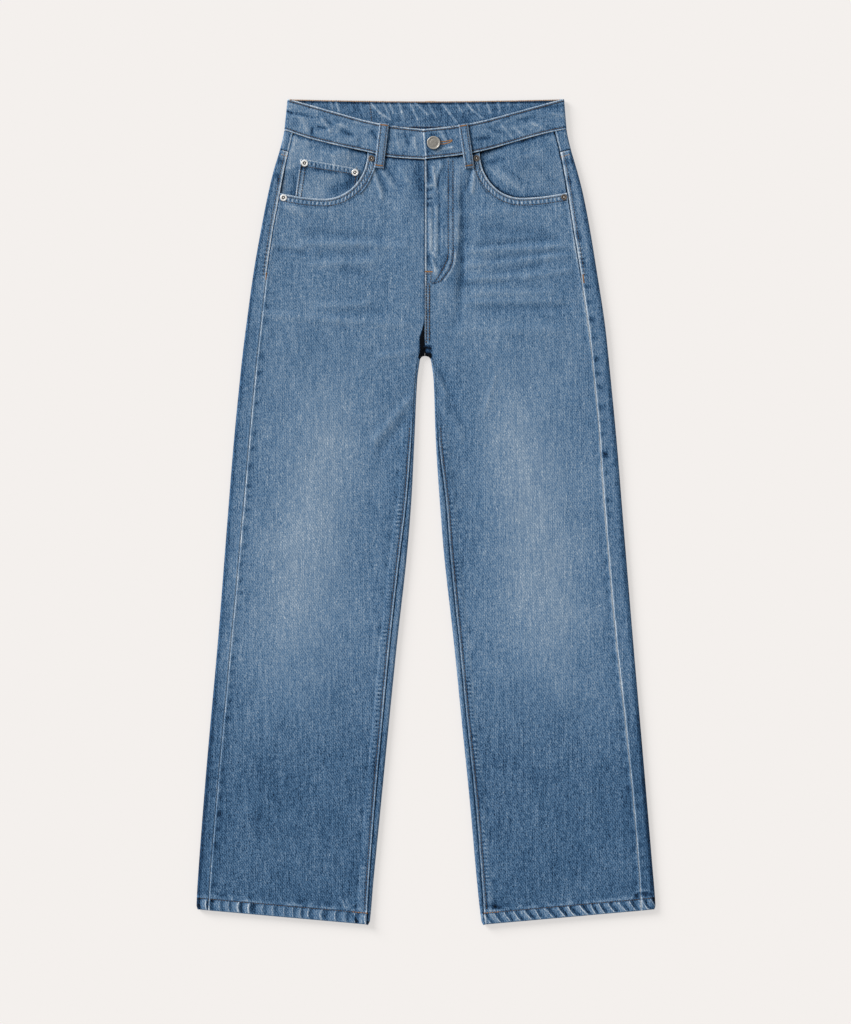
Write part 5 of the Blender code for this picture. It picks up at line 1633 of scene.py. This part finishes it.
BUTTON_RADIUS = 0.0086
BUTTON_HEIGHT = 0.0030
SHANK_RADIUS = 0.0026
METAL_SHARE = 0.65  # worn plating scatters a part of the light, as paint does


def edit_top_face(obj):
    """Opens an object for editing with only its top face selected."""
    bpy.ops.object.select_all(action="DESELECT")
    obj.select_set(True)
    bpy.context.view_layer.objects.active = obj
    bpy.ops.object.mode_set(mode="EDIT")
    bpy.ops.mesh.select_all(action="DESELECT")
    bpy.ops.object.mode_set(mode="OBJECT")
    top = max(obj.data.polygons, key=lambda p: p.center.z + p.normal.z)
    top.select = True
    bpy.ops.object.mode_set(mode="EDIT")
    bpy.ops.mesh.select_mode(type="FACE")


def inset(*steps):
    """Narrower faces inside the selected one, each with its distance and its rise or fall."""
    for thickness, depth in steps:
        bpy.ops.mesh.inset(thickness=thickness, depth=depth)


def finish_metal(obj, node, width):
    bpy.ops.object.mode_set(mode="OBJECT")
    bevel = obj.modifiers.new("Bevel", "BEVEL")
    bevel.width = width
    bevel.segments = 2
    bpy.ops.object.modifier_apply(modifier="Bevel")
    bpy.ops.object.shade_smooth_by_angle(angle=math.radians(50))
    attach(obj, "root")
    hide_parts(node)


def metal(name, low, high, roughness, scale, bump):
    """A worn metal, dented a little where its colour varies."""
    material, tree, shader, spots = spotted(name, low, high, scale, 3, roughness)
    dents = {"Height": spots, "Strength": bump, "Distance": 0.0003}
    tree.links.new(add(tree, "ShaderNodeBump", dents).outputs["Normal"], shader.inputs["Normal"])
    shader.inputs["Metallic"].default_value = METAL_SHARE
    return material


pewter = metal("dull pewter", "8E8A83", "D0CCC3", 0.42, 900, 0.2)
stippled = metal("stippled pewter", "4A4743", "C4BFB6", 0.50, 1100, 0.9)
top = OVERLAP_TOP + SEAM_GAP + BUTTON_HEIGHT
foot = UNDERLAP_TOP + SEAM_GAP
middle = (BUTTON_X, TOP_Y - BUTTON_DOWN, top - 0.0014)
bpy.ops.mesh.primitive_cylinder_add(vertices=48, radius=BUTTON_RADIUS, depth=0.0020, location=middle)
bpy.ops.object.transform_apply()
button = bpy.context.object
button.name = "button_pewter"
edit_top_face(button)
button.data.materials.append(pewter)
button.data.materials.append(stippled)
inset((0.0005, 0.0004), (0.0009, 0), (0.0004, -0.0005))
button.active_material_index = 1
bpy.ops.object.material_slot_assign()
inset((0.0022, 0), (0.0003, 0.0002), (0.0010, 0))
bpy.ops.object.mode_set(mode="OBJECT")
long = top - 0.002 - foot
middle = (BUTTON_X, TOP_Y - BUTTON_DOWN, foot + long / 2)
bpy.ops.mesh.primitive_cylinder_add(vertices=24, radius=SHANK_RADIUS, depth=long, location=middle)
bpy.ops.object.transform_apply()
button.select_set(True)
bpy.context.view_layer.objects.active = button
bpy.ops.object.join()
finish_metal(button, "fly_button", 0.00025)


# Rivets: small stamped caps of nickel or copper at the corners of the pockets, each a rounded
# ring round a hollow, painted dark as shade, with the nail's end in it. One is modelled, and each cap is its
# copy.

RIVET_RADIUS = 0.0044
Rivet = namedtuple("Rivet", "place x down metal")
RIVETS = (
    Rivet("mouth_inner_left", 0.0656, 0.0786, "copper"),
    Rivet("mouth_outer_left", 0.1793, 0.1292, "copper"),
    Rivet("mouth_inner_right", -0.0708, 0.0790, "copper"),
    Rivet("mouth_outer_right", -0.1850, 0.1300, "nickel"),
    Rivet("coin_outer", -0.1576, 0.0852, "nickel"),
    Rivet("coin_inner", -0.0922, 0.0972, "nickel"),
)
METALS = {
    "copper": metal("aged copper", "4A443F", "8E8279", 0.50, 700, 0.2),
    "nickel": metal("bright nickel", "F2EFEA", "FFFEFB", 0.46, 500, 0.05),
}

# The hollow's near-black colour is painted shade.
hollow_shade, _, shader = new_material("dark hollow")
shader.inputs["Base Color"].default_value = linear("1F1D1B")
shader.inputs["Roughness"].default_value = 0.7

bpy.ops.mesh.primitive_cylinder_add(vertices=32, radius=RIVET_RADIUS, depth=0.0006)
pattern = bpy.context.object
edit_top_face(pattern)
inset((0.0003, 0.0003), (0.0017, 0))
for material in (METALS["nickel"], hollow_shade, METALS["nickel"]):
    pattern.data.materials.append(material)
pattern.active_material_index = 1
inset((0.0002, -0.0005))
bpy.ops.object.material_slot_assign()
inset((0.0014, 0))
pattern.active_material_index = 2
bpy.ops.object.material_slot_assign()
inset((0.0001, 0.0003))
bpy.ops.object.mode_set(mode="OBJECT")
rivet_mesh = pattern.data.copy()
bpy.data.objects.remove(pattern)
for rivet in RIVETS:
    node = "rivet_" + rivet.place
    low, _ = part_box(node)
    cap = bpy.data.objects.new(node + "_cap", rivet_mesh.copy())
    bpy.context.scene.collection.objects.link(cap)
    cap.location = (rivet.x, TOP_Y - rivet.down, low[2] + 0.0003)
    cap.scale = (0.90, 0.90, 1) if rivet.metal == "copper" else (1, 1, 1)
    bpy.ops.object.select_all(action="DESELECT")
    cap.select_set(True)
    bpy.context.view_layer.objects.active = cap
    bpy.ops.object.transform_apply()
    cap.data.materials[0] = METALS[rivet.metal]
    finish_metal(cap, node, 0.00015)
